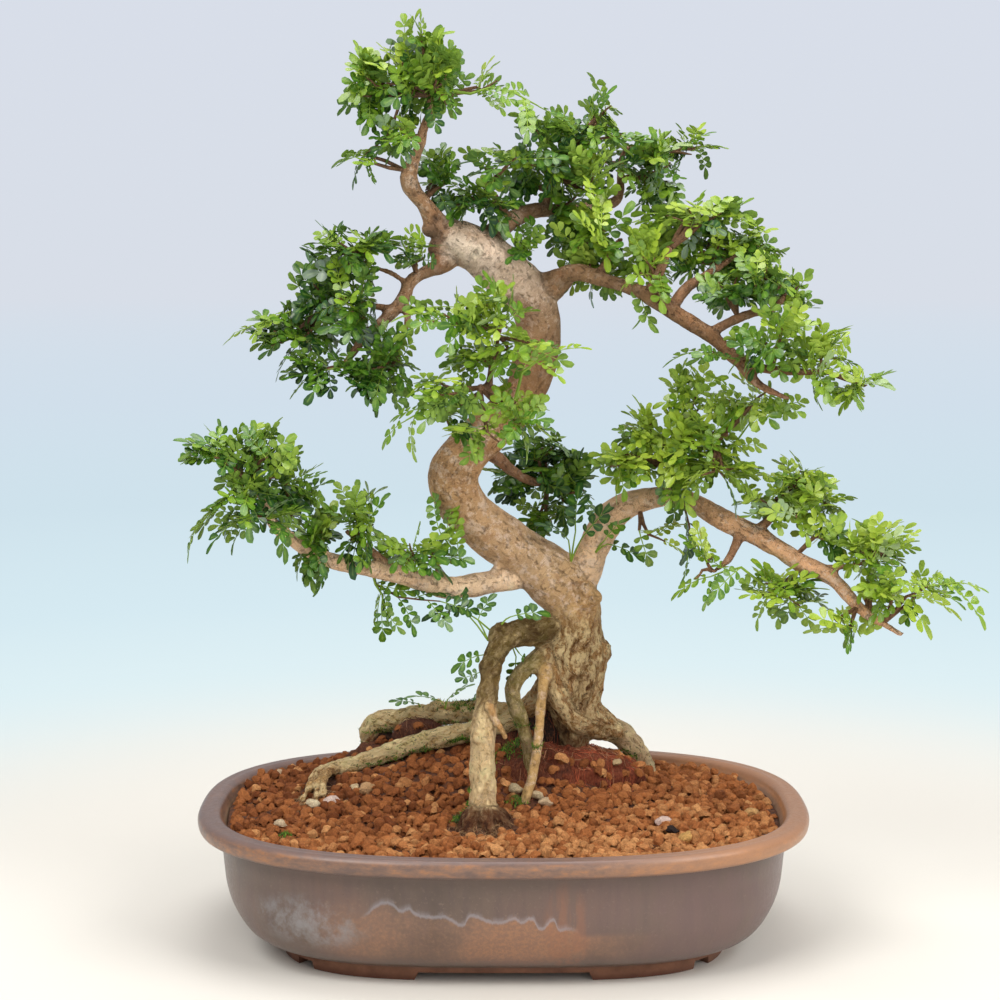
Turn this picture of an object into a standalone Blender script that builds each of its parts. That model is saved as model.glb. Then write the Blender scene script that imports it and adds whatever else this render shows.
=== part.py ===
"""Chinese pepper bonsai in an oval glazed tray, in metres, +Z up.

The tree is one grown piece of wood: trunk, branches and bared roots. Each leafy spray is a
piece of its own, seated round the twig that bears it. The tray stands on six low feet and
holds the soil, with a mesh and a wire clip over each of its two drainage holes.
"""
import math
import random

import bmesh
import bpy
from mathutils import Matrix, Vector, noise
from mathutils.bvhtree import BVHTree

# Driving dimensions
TRAY_HALF_LENGTH = 0.209
TRAY_WIDTH_TO_LENGTH = 0.77
RIM_HEIGHT = 0.092
LIP_HEIGHT = 0.013
LIP_WIDTH = 0.0135
WALL_HALF_LENGTH = 0.193
WALL_THICKNESS = 0.007
FLOOR_BOTTOM = 0.0085
FLOOR_TOP = 0.0155
FOOT_HALF_LENGTH = 0.151
FOOT_WIDTH = 0.015
FOOT_OPENING_HEIGHT = 0.0055
RIM_SQUARENESS = 2.6
BASE_SQUARENESS = 3.3
TRAY_SIDES = 32
SEAT = 0.0003
FIT = 0.0004

# The tray's middle in the part's frame, which has its origin under the middle of the whole tree
TRAY_MIDDLE_X = -0.0514

# Drainage
HOLE_RADIUS = 0.011
HOLE_OFFSET = 0.085
MESH_OPENING = 0.006
MESH_BAR = 0.0025
MESH_OPENINGS_PER_SIDE = 3
MESH_THICKNESS = 0.0012
CLIP_WIRE_RADIUS = 0.00075
CLIP_FOOT_REACH = 0.016

# Soil
SOIL_EDGE = 0.082
SOIL_PEAK = 0.037
SOIL_MIDDLE = (-0.010, 0.060)
SOIL_SPREAD_LEFT_RIGHT = (0.125, 0.105)
SOIL_SPREAD_FRONT_BACK = (0.075, 0.052)
ROOT_BALL = (0.045, 0.050)
ROOT_BALL_RISE = 0.010
ROOT_BALL_SPREAD = 0.030
SOIL_ROUGHNESS = 0.0012
SOIL_GRAIN = 0.012
SOIL_RINGS = 5

# Wood
BARK_LUMP = 0.10
BARK_LUMP_SIZE = 0.022
TRUNK_RESOLUTION = 3
LIMB_RESOLUTION = 1
TWIG_RESOLUTION = 0
TWIG_RADIUS = 0.0042
SHORTEST_STEP = 0.018
RING_SPACING = 1.6

# Leaves
LEAF_LENGTH = 0.047
LEAF_THICKNESS = 0.0007
LEAFLET_PAIRS = 2
RACHIS_HALF_WIDTH = 0.0008
LEAF_CLEARANCE = 0.0016
HEART_SEGMENTS = 6
HEART_RINGS = 4
HEART_CRINKLE = 0.24
HEART_UNEVEN = 0.15
HEART_FLATNESS = 0.7
LEAF_SIZE_RANGE = (0.85, 1.12)
LEAF_LIFT_RANGE = (0.05, 0.35)
LEAF_DROOP_RANGE = (0.05, 0.35)
LEAF_ROLL = 0.8
LEAF_ROOT_SHARE = 0.42
LEAF_TRIES = 24
LEAF_START = 0.45
LOWEST_LEAF = -22.0
LEAF_FAN = 92.0
LEAF_SCATTER = 14.0
SPRIG_LEAF_LENGTH = 0.032
SPRIG_STEM_RADIUS = 0.0013
TREE_AXIS = (0.0, 0.03)
GOLDEN_ANGLE = math.radians(137.5)
SEED = 12

# Each limb as points along its middle and the wood's radius there: (x, y, z, radius)
TRUNK = [
    (0.051, 0.045, 0.100, 0.0105), (0.051, 0.045, 0.119, 0.0105), (0.049, 0.045, 0.136, 0.0130),
    (0.048, 0.044, 0.152, 0.0185), (0.048, 0.043, 0.170, 0.0225), (0.049, 0.042, 0.190, 0.0225),
    (0.050, 0.041, 0.208, 0.0195), (0.047, 0.040, 0.226, 0.0205), (0.035, 0.038, 0.240, 0.0210),
    (0.016, 0.035, 0.256, 0.0180), (-0.009, 0.030, 0.274, 0.0175), (-0.028, 0.025, 0.293, 0.0175),
    (-0.035, 0.022, 0.313, 0.0175), (-0.026, 0.024, 0.330, 0.0160), (-0.011, 0.029, 0.344, 0.0155),
    (0.005, 0.034, 0.359, 0.0150), (0.017, 0.038, 0.376, 0.0150), (0.023, 0.040, 0.400, 0.0155),
    (0.024, 0.038, 0.419, 0.0155), (0.018, 0.033, 0.437, 0.0165), (0.006, 0.027, 0.449, 0.0170),
    (-0.007, 0.022, 0.461, 0.0165), (-0.020, 0.017, 0.470, 0.0155), (-0.033, 0.013, 0.478, 0.0140),
    (-0.045, 0.010, 0.488, 0.0100), (-0.052, 0.008, 0.498, 0.0075), (-0.060, 0.005, 0.508, 0.0065),
    (-0.064, 0.003, 0.518, 0.0065), (-0.061, 0.001, 0.528, 0.0050), (-0.056, 0.000, 0.539, 0.0040),
    (-0.054, -0.002, 0.549, 0.0035), (-0.049, -0.004, 0.562, 0.0025), (-0.050, -0.006, 0.574, 0.0020),
]
BRANCHES = {
    "left_low": [
        (0.013, 0.034, 0.244, 0.0105), (-0.004, 0.027, 0.240, 0.0080), (-0.022, 0.018, 0.238, 0.0085),
        (-0.039, 0.008, 0.238, 0.0080), (-0.054, -0.003, 0.244, 0.0075), (-0.070, -0.013, 0.250, 0.0065),
        (-0.087, -0.022, 0.255, 0.0055), (-0.105, -0.030, 0.260, 0.0055), (-0.123, -0.037, 0.267, 0.0055),
        (-0.142, -0.044, 0.280, 0.0050), (-0.153, -0.049, 0.291, 0.0040), (-0.159, -0.053, 0.307, 0.0030),
        (-0.167, -0.056, 0.320, 0.0020),
    ],
    "left_low_fork": [
        (-0.072, -0.014, 0.251, 0.0040), (-0.087, -0.020, 0.266, 0.0030), (-0.096, -0.024, 0.274, 0.0025),
        (-0.106, -0.028, 0.283, 0.0017),
    ],
    "left_low_side": [
        (-0.148, -0.046, 0.286, 0.0030), (-0.138, -0.040, 0.297, 0.0022), (-0.128, -0.034, 0.303, 0.0017),
    ],
    "left_low_twig": [
        (-0.035, 0.010, 0.238, 0.0040), (-0.042, 0.004, 0.247, 0.0030), (-0.047, -0.002, 0.258, 0.0022),
        (-0.051, -0.008, 0.268, 0.0017),
    ],
    "right_low": [
        (0.048, 0.040, 0.227, 0.0140), (0.057, 0.040, 0.244, 0.0125), (0.063, 0.038, 0.261, 0.0110),
        (0.070, 0.035, 0.276, 0.0110), (0.079, 0.031, 0.288, 0.0100), (0.091, 0.027, 0.295, 0.0085),
        (0.105, 0.022, 0.299, 0.0075), (0.119, 0.016, 0.301, 0.0065), (0.134, 0.009, 0.295, 0.0065),
        (0.151, 0.001, 0.286, 0.0075), (0.169, -0.008, 0.278, 0.0070), (0.186, -0.017, 0.269, 0.0065),
        (0.201, -0.025, 0.260, 0.0065), (0.212, -0.031, 0.256, 0.0060), (0.223, -0.036, 0.249, 0.0050),
        (0.232, -0.041, 0.239, 0.0045), (0.242, -0.045, 0.229, 0.0035), (0.253, -0.049, 0.223, 0.0025),
        (0.265, -0.053, 0.216, 0.0017),
    ],
    "right_low_fork": [
        (0.209, -0.030, 0.256, 0.0035), (0.225, -0.034, 0.259, 0.0025), (0.239, -0.038, 0.262, 0.0020),
        (0.254, -0.042, 0.270, 0.0017),
    ],
    "right_low_up": [
        (0.169, -0.008, 0.278, 0.0040), (0.179, -0.012, 0.287, 0.0030), (0.188, -0.014, 0.298, 0.0025),
        (0.193, -0.016, 0.309, 0.0017),
    ],
    "right_low_stub": [
        (0.162, -0.005, 0.280, 0.0050), (0.157, -0.014, 0.270, 0.0035), (0.150, -0.024, 0.261, 0.0025),
        (0.140, -0.032, 0.255, 0.0017),
    ],
    "right_low_side": [
        (0.243, -0.046, 0.228, 0.0028), (0.244, -0.038, 0.235, 0.0022), (0.239, -0.028, 0.242, 0.0017),
    ],
    "right_middle": [
        (0.113, 0.021, 0.298, 0.0040), (0.116, 0.014, 0.312, 0.0030), (0.118, 0.006, 0.325, 0.0025),
        (0.123, 0.000, 0.337, 0.0017),
    ],
    "right_middle_side": [
        (0.117, 0.011, 0.320, 0.0025), (0.134, 0.000, 0.335, 0.0020), (0.152, -0.011, 0.347, 0.0017),
    ],
    "upper_left": [
        (-0.030, 0.015, 0.470, 0.0090), (-0.041, 0.008, 0.460, 0.0065), (-0.052, 0.002, 0.455, 0.0047),
        (-0.062, -0.005, 0.449, 0.0045), (-0.067, -0.012, 0.438, 0.0045), (-0.074, -0.018, 0.429, 0.0045),
        (-0.084, -0.023, 0.420, 0.0040), (-0.094, -0.028, 0.410, 0.0035), (-0.106, -0.034, 0.394, 0.0025),
    ],
    "upper_left_fork": [
        (-0.072, -0.018, 0.430, 0.0030), (-0.088, -0.014, 0.433, 0.0025), (-0.098, -0.010, 0.436, 0.0020),
        (-0.113, -0.008, 0.439, 0.0017),
    ],
    "upper_left_top": [
        (-0.063, -0.006, 0.446, 0.0025), (-0.076, -0.014, 0.455, 0.0020), (-0.090, -0.018, 0.459, 0.0017),
        (-0.105, -0.022, 0.460, 0.0017),
    ],
    "upper_left_twig": [
        (-0.067, -0.012, 0.438, 0.0030), (-0.064, -0.018, 0.426, 0.0025), (-0.066, -0.026, 0.414, 0.0020),
        (-0.070, -0.034, 0.404, 0.0017),
    ],
    "upper_back": [
        (-0.016, 0.018, 0.470, 0.0100), (-0.006, 0.026, 0.481, 0.0080), (0.005, 0.036, 0.489, 0.0065),
        (0.018, 0.047, 0.495, 0.0060), (0.032, 0.058, 0.496, 0.0050), (0.049, 0.069, 0.496, 0.0050),
        (0.067, 0.079, 0.499, 0.0045), (0.081, 0.087, 0.504, 0.0035), (0.083, 0.088, 0.523, 0.0030),
        (0.084, 0.088, 0.534, 0.0025), (0.089, 0.088, 0.541, 0.0020),
    ],
    "upper_back_twig": [
        (0.028, 0.056, 0.494, 0.0035), (0.031, 0.052, 0.509, 0.0030), (0.036, 0.050, 0.521, 0.0020),
        (0.041, 0.048, 0.532, 0.0017),
    ],
    "upper_back_near": [
        (0.004, 0.035, 0.487, 0.0040), (-0.002, 0.026, 0.498, 0.0035), (-0.008, 0.020, 0.508, 0.0025),
        (-0.015, 0.014, 0.515, 0.0017),
    ],
    "upper_right": [
        (0.018, 0.034, 0.433, 0.0125), (0.029, 0.030, 0.444, 0.0095), (0.040, 0.024, 0.451, 0.0070),
        (0.052, 0.018, 0.454, 0.0060), (0.065, 0.011, 0.450, 0.0050), (0.083, 0.002, 0.445, 0.0050),
        (0.097, -0.005, 0.439, 0.0055), (0.111, -0.012, 0.430, 0.0055), (0.124, -0.019, 0.422, 0.0055),
        (0.137, -0.026, 0.414, 0.0050), (0.147, -0.032, 0.405, 0.0050), (0.156, -0.037, 0.397, 0.0045),
        (0.170, -0.042, 0.393, 0.0035), (0.190, -0.048, 0.391, 0.0030), (0.216, -0.054, 0.391, 0.0017),
    ],
    "upper_right_near": [
        (0.063, 0.012, 0.450, 0.0035), (0.070, 0.016, 0.461, 0.0030), (0.075, 0.020, 0.471, 0.0020),
        (0.081, 0.024, 0.477, 0.0017),
    ],
    "upper_right_up": [
        (0.097, -0.005, 0.438, 0.0045), (0.103, -0.003, 0.450, 0.0040), (0.107, -0.002, 0.460, 0.0035),
        (0.112, -0.002, 0.472, 0.0025),
    ],
    "upper_right_fork": [
        (0.111, -0.012, 0.429, 0.0045), (0.123, -0.004, 0.444, 0.0040), (0.133, 0.004, 0.450, 0.0035),
        (0.148, 0.012, 0.459, 0.0025), (0.162, 0.018, 0.468, 0.0017),
    ],
    "upper_right_end": [
        (0.135, -0.026, 0.414, 0.0035), (0.150, -0.024, 0.422, 0.0035), (0.165, -0.021, 0.428, 0.0030),
        (0.178, -0.019, 0.430, 0.0025), (0.186, -0.018, 0.437, 0.0020), (0.190, -0.017, 0.447, 0.0017),
    ],
    "upper_right_low": [
        (0.156, -0.037, 0.396, 0.0035), (0.165, -0.042, 0.385, 0.0035), (0.174, -0.046, 0.379, 0.0025),
        (0.188, -0.050, 0.373, 0.0017),
    ],
    "front": [
        (0.008, 0.034, 0.367, 0.0070), (-0.001, 0.008, 0.372, 0.0050), (-0.009, -0.020, 0.377, 0.0040),
        (-0.016, -0.048, 0.380, 0.0030),
    ],
    "front_up": [
        (-0.010, -0.025, 0.377, 0.0030), (-0.008, -0.040, 0.394, 0.0025), (-0.004, -0.048, 0.410, 0.0020),
        (-0.002, -0.052, 0.422, 0.0017),
    ],
    "back_middle": [
        (-0.020, 0.026, 0.337, 0.0060), (-0.004, 0.042, 0.324, 0.0050), (0.006, 0.056, 0.314, 0.0040),
        (0.019, 0.070, 0.305, 0.0035), (0.034, 0.084, 0.301, 0.0025),
    ],
}
ROOTS = {
    "arch": [
        (0.041, 0.041, 0.204, 0.0090), (0.029, 0.032, 0.202, 0.0080), (0.014, 0.020, 0.202, 0.0075),
        (0.002, 0.007, 0.202, 0.0075), (-0.005, -0.006, 0.193, 0.0070), (-0.009, -0.018, 0.179, 0.0065),
        (-0.012, -0.028, 0.163, 0.0075), (-0.014, -0.038, 0.145, 0.0080), (-0.014, -0.044, 0.128, 0.0080),
        (-0.014, -0.048, 0.112, 0.0085), (-0.014, -0.050, 0.098, 0.0100), (-0.015, -0.051, 0.086, 0.0125),
        (-0.015, -0.052, 0.074, 0.0110),
    ],
    "green": [
        (0.037, 0.038, 0.189, 0.0075), (0.024, 0.028, 0.184, 0.0070), (0.012, 0.018, 0.176, 0.0060),
        (0.007, 0.010, 0.166, 0.0055), (0.009, 0.008, 0.154, 0.0055), (0.014, 0.008, 0.140, 0.0050),
        (0.017, 0.008, 0.124, 0.0045), (0.018, 0.008, 0.096, 0.0040),
    ],
    "thin": [
        (0.037, 0.034, 0.186, 0.0055), (0.030, 0.022, 0.179, 0.0045), (0.026, 0.012, 0.163, 0.0042),
        (0.024, 0.004, 0.145, 0.0042), (0.022, -0.004, 0.126, 0.0040), (0.020, -0.010, 0.110, 0.0040),
        (0.016, -0.016, 0.098, 0.0040), (0.013, -0.020, 0.084, 0.0035),
    ],
    "back": [
        (0.044, 0.048, 0.158, 0.0120), (0.032, 0.056, 0.148, 0.0095), (0.016, 0.063, 0.140, 0.0080),
        (-0.002, 0.069, 0.136, 0.0080), (-0.022, 0.074, 0.135, 0.0085), (-0.045, 0.079, 0.132, 0.0085),
        (-0.074, 0.084, 0.129, 0.0080), (-0.093, 0.088, 0.126, 0.0075), (-0.099, 0.090, 0.117, 0.0065),
        (-0.100, 0.091, 0.104, 0.0055), (-0.100, 0.091, 0.082, 0.0050),
    ],
    "left": [
        (0.018, 0.054, 0.137, 0.0065), (-0.008, 0.050, 0.129, 0.0070), (-0.029, 0.047, 0.124, 0.0075),
        (-0.052, 0.045, 0.119, 0.0070), (-0.076, 0.044, 0.111, 0.0065), (-0.101, 0.044, 0.102, 0.0060),
        (-0.121, 0.046, 0.096, 0.0055), (-0.130, 0.047, 0.089, 0.0045), (-0.133, 0.048, 0.070, 0.0035),
    ],
    "left_toe": [
        (-0.116, 0.045, 0.098, 0.0045), (-0.122, 0.041, 0.090, 0.0035), (-0.124, 0.038, 0.072, 0.0030),
    ],
    "right": [
        (0.049, 0.044, 0.148, 0.0140), (0.056, 0.048, 0.136, 0.0110), (0.069, 0.054, 0.131, 0.0090),
        (0.081, 0.060, 0.125, 0.0083), (0.092, 0.066, 0.115, 0.0075), (0.100, 0.071, 0.102, 0.0065),
        (0.106, 0.075, 0.088, 0.0055), (0.108, 0.077, 0.072, 0.0050),
    ],
}

# Each leafy spray: the middle of its bunch, the bunch's radius and how many leaves stand out of it
SPRAYS = {
    "spray_apex": ((-0.056, -0.004, 0.576), 0.023, 7),
    "spray_upper_back_left": ((0.040, 0.046, 0.537), 0.020, 5),
    "spray_upper_back_right": ((0.092, 0.088, 0.546), 0.022, 5),
    "spray_upper_back_low": ((-0.015, 0.013, 0.518), 0.017, 4),
    "spray_upper_right_near": ((0.081, 0.025, 0.481), 0.018, 4),
    "spray_upper_right_top": ((0.117, -0.001, 0.478), 0.020, 5),
    "spray_upper_right_back": ((0.163, 0.019, 0.472), 0.022, 5),
    "spray_upper_right_end": ((0.191, -0.017, 0.451), 0.018, 4),
    "spray_right_tip": ((0.214, -0.053, 0.396), 0.018, 5),
    "spray_right_tip_low": ((0.184, -0.050, 0.374), 0.016, 3),
    "spray_right_middle": ((0.119, 0.002, 0.341), 0.017, 5),
    "spray_right_middle_side": ((0.155, -0.013, 0.350), 0.014, 3),
    "spray_right_low_top": ((0.193, -0.016, 0.311), 0.022, 5),
    "spray_right_low_under": ((0.138, -0.033, 0.252), 0.013, 3),
    "spray_right_low_fork": ((0.254, -0.042, 0.272), 0.020, 5),
    "spray_right_low_end": ((0.266, -0.053, 0.215), 0.016, 3),
    "spray_right_low_back": ((0.237, -0.026, 0.245), 0.014, 3),
    "spray_left_low_tip": ((-0.168, -0.057, 0.326), 0.022, 6),
    "spray_left_low_side": ((-0.127, -0.033, 0.306), 0.016, 3),
    "spray_left_low_fork": ((-0.105, -0.028, 0.286), 0.016, 4),
    "spray_left_low_twig": ((-0.052, -0.009, 0.271), 0.014, 2),
    "spray_upper_left_top": ((-0.105, -0.022, 0.462), 0.019, 5),
    "spray_upper_left_fork": ((-0.114, -0.008, 0.438), 0.017, 4),
    "spray_upper_left_low": ((-0.106, -0.034, 0.394), 0.019, 5),
    "spray_upper_left_twig": ((-0.070, -0.034, 0.404), 0.014, 3),
    "spray_front": ((-0.018, -0.056, 0.381), 0.020, 6),
    "spray_front_top": ((-0.002, -0.053, 0.424), 0.014, 3),
    "spray_back_middle": ((0.036, 0.086, 0.302), 0.020, 5),
}

# Each small green sprig on old wood: where it springs from, where it ends, and its leaves
SPRIGS = {
    "sprig_root_arch": ((0.000, 0.006, 0.205), (-0.016, 0.004, 0.222), 3),
    "sprig_fork": ((0.041, 0.040, 0.250), (0.046, 0.034, 0.274), 3),
}


def material(name, colour, roughness, metallic=0.0):
    """A plain finish of one colour."""
    made = bpy.data.materials.new(name)
    made.use_nodes = True
    shader = made.node_tree.nodes["Principled BSDF"]
    shader.inputs["Base Color"].default_value = (*colour, 1.0)
    shader.inputs["Roughness"].default_value = roughness
    shader.inputs["Metallic"].default_value = metallic
    return made


def add_object(name, data, collection):
    made = bpy.data.objects.new(name, data)
    collection.objects.link(made)
    return made


def bake(target):
    """Turn an object with its modifiers, or a curve, into plain mesh data."""
    bpy.context.view_layer.update()
    depsgraph = bpy.context.evaluated_depsgraph_get()
    data = bpy.data.meshes.new_from_object(target.evaluated_get(depsgraph))
    if target.type == "MESH":
        target.modifiers.clear()
        target.data = data
        return target
    made = bpy.data.objects.new(target.name + "_mesh", data)
    made.matrix_world = target.matrix_world
    for collection in target.users_collection:
        collection.objects.link(made)
    bpy.data.objects.remove(target)
    return made


def edit(target, change):
    """Run one change on an object's mesh."""
    work = bmesh.new()
    work.from_mesh(target.data)
    change(work)
    work.to_mesh(target.data)
    work.free()
    target.data.update()


def weld(target, distance=0.00002):
    edit(target, lambda work: bmesh.ops.remove_doubles(work, verts=work.verts, dist=distance))


def boolean(target, operation, others, solver="EXACT"):
    """Join a list of objects to the target, or cut them out of it, and remove them."""
    group = bpy.data.collections.new("joined")
    bpy.context.scene.collection.children.link(group)
    for other in others:
        for holder in other.users_collection:
            holder.objects.unlink(other)
        group.objects.link(other)
    step = target.modifiers.new("boolean", "BOOLEAN")
    step.operation = operation
    step.operand_type = "COLLECTION"
    step.collection = group
    step.solver = solver
    bake(target)
    for other in others:
        bpy.data.objects.remove(other)
    bpy.data.collections.remove(group)


def merge_flat(target):
    """Join the slivers that a cut leaves in what is one flat face."""
    def merge(work):
        bmesh.ops.dissolve_limit(
            work, angle_limit=math.radians(0.2), verts=work.verts, edges=work.edges)
    edit(target, merge)


def keep_largest(target):
    """Drop the loose scraps that a cut leaves."""
    def drop(work):
        left = set(work.faces)
        islands = []
        while left:
            front = [left.pop()]
            island = set(front)
            while front:
                face = front.pop()
                for edge in face.edges:
                    fresh = [other for other in edge.link_faces if other not in island]
                    island.update(fresh)
                    front.extend(fresh)
            left -= island
            islands.append(island)
        islands.sort(key=lambda island: sum(face.calc_area() for face in island))
        for island in islands[:-1]:
            bmesh.ops.delete(work, geom=list(island), context="FACES")
    edit(target, drop)


def finish(target, finish_material, smooth=True):
    target.data.materials.clear()
    target.data.materials.append(finish_material)
    if smooth:
        target.data.shade_smooth()
        target.data.set_sharp_from_angle(angle=math.radians(50))


def signed_power(value, power):
    return math.copysign(abs(value) ** power, value)


def squareness(height):
    """The tray is a plain oval at its rim and squarer towards its base."""
    rise = min(max((0.060 - height) / 0.050, 0.0), 1.0)
    return RIM_SQUARENESS + (BASE_SQUARENESS - RIM_SQUARENESS) * rise


def oval_place(radius, angle, height):
    power = 2.0 / squareness(height)
    return Vector((
        radius * signed_power(math.cos(angle), power),
        radius * TRAY_WIDTH_TO_LENGTH * signed_power(math.sin(angle), power),
        height,
    ))


def turned_oval(name, profile, collection):
    """Turn a profile of (half length, height) round the tray's middle, then press it into the oval."""
    data = bpy.data.meshes.new(name)
    edges = [(index, index + 1) for index in range(len(profile) - 1)]
    data.from_pydata([(radius, 0.0, height) for radius, height in profile], edges, [])
    made = add_object(name, data, collection)
    screw = made.modifiers.new("turn", "SCREW")
    screw.angle = 2.0 * math.pi
    screw.steps = TRAY_SIDES
    screw.render_steps = TRAY_SIDES
    screw.use_merge_vertices = True
    screw.merge_threshold = 0.00005
    bake(made)
    weld(made)
    for vert in made.data.vertices:
        radius = math.hypot(vert.co.x, vert.co.y)
        angle = math.atan2(vert.co.y, vert.co.x)
        vert.co = oval_place(radius, angle, vert.co.z)
    return made


def wall_profile():
    """The outside of the wall from under the lip to the base, as (half length, height)."""
    return [
        (WALL_HALF_LENGTH, 0.078),
        (WALL_HALF_LENGTH - 0.0015, 0.056),
        (WALL_HALF_LENGTH - 0.0075, 0.034),
        (WALL_HALF_LENGTH - 0.0190, 0.018),
        (WALL_HALF_LENGTH - 0.0280, 0.0125),
        (WALL_HALF_LENGTH - 0.0350, 0.0105),
    ]


def inner_profile():
    """The inside of the wall from the floor's middle up to the lip."""
    return [
        (0.0, FLOOR_TOP),
        (0.150, FLOOR_TOP),
        (0.174, FLOOR_TOP + 0.012),
        (WALL_HALF_LENGTH - WALL_THICKNESS, 0.074),
    ]


def tray(collection):
    rim = TRAY_HALF_LENGTH
    inner_rim = rim - LIP_WIDTH
    lip = [
        (inner_rim - 0.0015, RIM_HEIGHT - 0.0025),
        (inner_rim + 0.0020, RIM_HEIGHT),
        (rim - 0.0040, RIM_HEIGHT),
        (rim, RIM_HEIGHT - 0.0045),
        (rim - 0.0030, RIM_HEIGHT - LIP_HEIGHT),
    ]
    foot = [
        (FOOT_HALF_LENGTH + 0.0025, 0.0100),
        (FOOT_HALF_LENGTH, 0.0),
        (FOOT_HALF_LENGTH - FOOT_WIDTH, 0.0),
        (FOOT_HALF_LENGTH - FOOT_WIDTH - 0.0015, FLOOR_BOTTOM),
        (0.0, FLOOR_BOTTOM),
    ]
    made = turned_oval("tray", inner_profile() + lip + wall_profile() + foot, collection)
    cutters = foot_openings(collection)
    cutters += [drainage_hole(side, collection) for side in (-1, 1)]
    boolean(made, "DIFFERENCE", cutters)
    return made


def block(name, corners_low, corners_high, collection):
    """A block with a slanted outline: four corners at its low end and four at its high end."""
    data = bpy.data.meshes.new(name)
    work = bmesh.new()
    bmesh.ops.create_cube(work, size=2.0)
    for vert in work.verts:
        corners = corners_low if vert.co.z < 0 else corners_high
        half_x, half_y, height = corners
        vert.co = Vector((vert.co.x * half_x, vert.co.y * half_y, height))
    work.to_mesh(data)
    work.free()
    return add_object(name, data, collection)


def foot_openings(collection):
    """The gaps between the feet: one along each side and one at each corner."""
    bottom = -0.002
    cutters = []
    half_gap = 0.0590
    half_gap_top = 0.0555
    reach = FOOT_HALF_LENGTH * TRAY_WIDTH_TO_LENGTH - 0.5 * FOOT_WIDTH
    for side in (-1, 1):
        made = block(
            "side_gap", (half_gap, 0.020, bottom), (half_gap_top, 0.020, FOOT_OPENING_HEIGHT), collection)
        made.location = (0.0, side * reach, 0.0)
        cutters.append(made)
        for end in (-1, 1):
            made = block(
                "corner_gap", (0.0085, 0.022, bottom), (0.0070, 0.022, FOOT_OPENING_HEIGHT), collection)
            made.location = (end * 0.130, side * 0.086, 0.0)
            made.rotation_euler = (0.0, 0.0, -end * side * math.radians(40))
            cutters.append(made)
    return cutters


def drainage_hole(side, collection):
    work = bmesh.new()
    bmesh.ops.create_cone(
        work, cap_ends=True, segments=20, radius1=HOLE_RADIUS, radius2=HOLE_RADIUS, depth=0.04)
    data = bpy.data.meshes.new("hole")
    work.to_mesh(data)
    work.free()
    made = add_object("hole", data, collection)
    made.location = (side * HOLE_OFFSET, 0.0, FLOOR_TOP)
    return made


def drainage_mesh(name, side, collection):
    """A square plastic grille that lies over a drainage hole."""
    lines = [0.0]
    for _ in range(MESH_OPENINGS_PER_SIDE):
        lines += [lines[-1] + MESH_BAR, lines[-1] + MESH_BAR + MESH_OPENING]
    lines.append(lines[-1] + MESH_BAR)
    half = lines[-1] / 2.0
    work = bmesh.new()
    count = len(lines)
    verts = [[work.verts.new((x - half, y - half, 0.0)) for x in lines] for y in lines]
    for row in range(count - 1):
        for column in range(count - 1):
            if row % 2 == 1 and column % 2 == 1:
                continue
            corners = (verts[row][column], verts[row][column + 1])
            work.faces.new((*corners, verts[row + 1][column + 1], verts[row + 1][column]))
    data = bpy.data.meshes.new(name)
    work.to_mesh(data)
    work.free()
    made = add_object(name, data, collection)
    made.location = (side * HOLE_OFFSET, 0.0, FLOOR_TOP + SEAT)
    thick = made.modifiers.new("thickness", "SOLIDIFY")
    thick.thickness = MESH_THICKNESS
    thick.offset = 1.0
    return made


def wire(name, route, radius, collection, resolution=1):
    """A round wire, stem or limb along a list of places, with one radius or one for each place."""
    curve = bpy.data.curves.new(name, "CURVE")
    curve.dimensions = "3D"
    curve.bevel_depth = 1.0
    curve.bevel_resolution = resolution
    curve.use_fill_caps = True
    spline = curve.splines.new("POLY")
    spline.points.add(len(route) - 1)
    for index, (point, place) in enumerate(zip(spline.points, route)):
        point.co = (*place, 1.0)
        point.radius = radius[index] if isinstance(radius, list) else radius
    made = bake(add_object(name, curve, collection))
    made.name = name
    weld(made)
    return made


def mesh_clip(name, side, collection):
    """A wire staple over the mesh, its legs through the hole and bent out under the floor."""
    pitch = MESH_OPENING + MESH_BAR
    top = FLOOR_TOP + 2.0 * SEAT + MESH_THICKNESS + CLIP_WIRE_RADIUS
    under = FLOOR_BOTTOM - SEAT - CLIP_WIRE_RADIUS
    half_route = [
        (CLIP_FOOT_REACH, 0.0, under),
        (pitch, 0.0, under),
        (pitch, 0.0, top),
    ]
    route = half_route + [(-x, y, z) for x, y, z in reversed(half_route)]
    made = wire(name, route, CLIP_WIRE_RADIUS, collection)
    made.location = (side * HOLE_OFFSET, 0.0, 0.0)
    return made


def curve_point(points, place):
    """A point of the smooth curve through the points, at a place counted in points from the first."""
    index = min(int(place), len(points) - 4)
    t = place - index
    before, start, end, after = points[index:index + 4]
    return 0.5 * (
        2 * start + (end - before) * t
        + (2 * before - 5 * start + 4 * end - after) * t ** 2
        + (3 * start - before - 3 * end + after) * t ** 3)


def smooth_route(route):
    """Points along one smooth curve through a limb's own points, closer where the limb is thinner."""
    points = [Vector(place) for place in route]
    points = [2 * points[0] - points[1]] + points + [2 * points[-1] - points[-2]]
    spans = len(route) - 1
    fine = [curve_point(points, spans * step / (spans * 12)) for step in range(spans * 12 + 1)]
    made = [fine[0]]
    run = 0.0
    for before, after in zip(fine, fine[1:]):
        run += (after.to_3d() - before.to_3d()).length
        if run >= max(RING_SPACING * after.w, SHORTEST_STEP):
            made.append(after)
            run = 0.0
    if run > 0.4 * SHORTEST_STEP:
        made.append(fine[-1])
    else:
        made[-1] = fine[-1]
    return made


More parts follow.
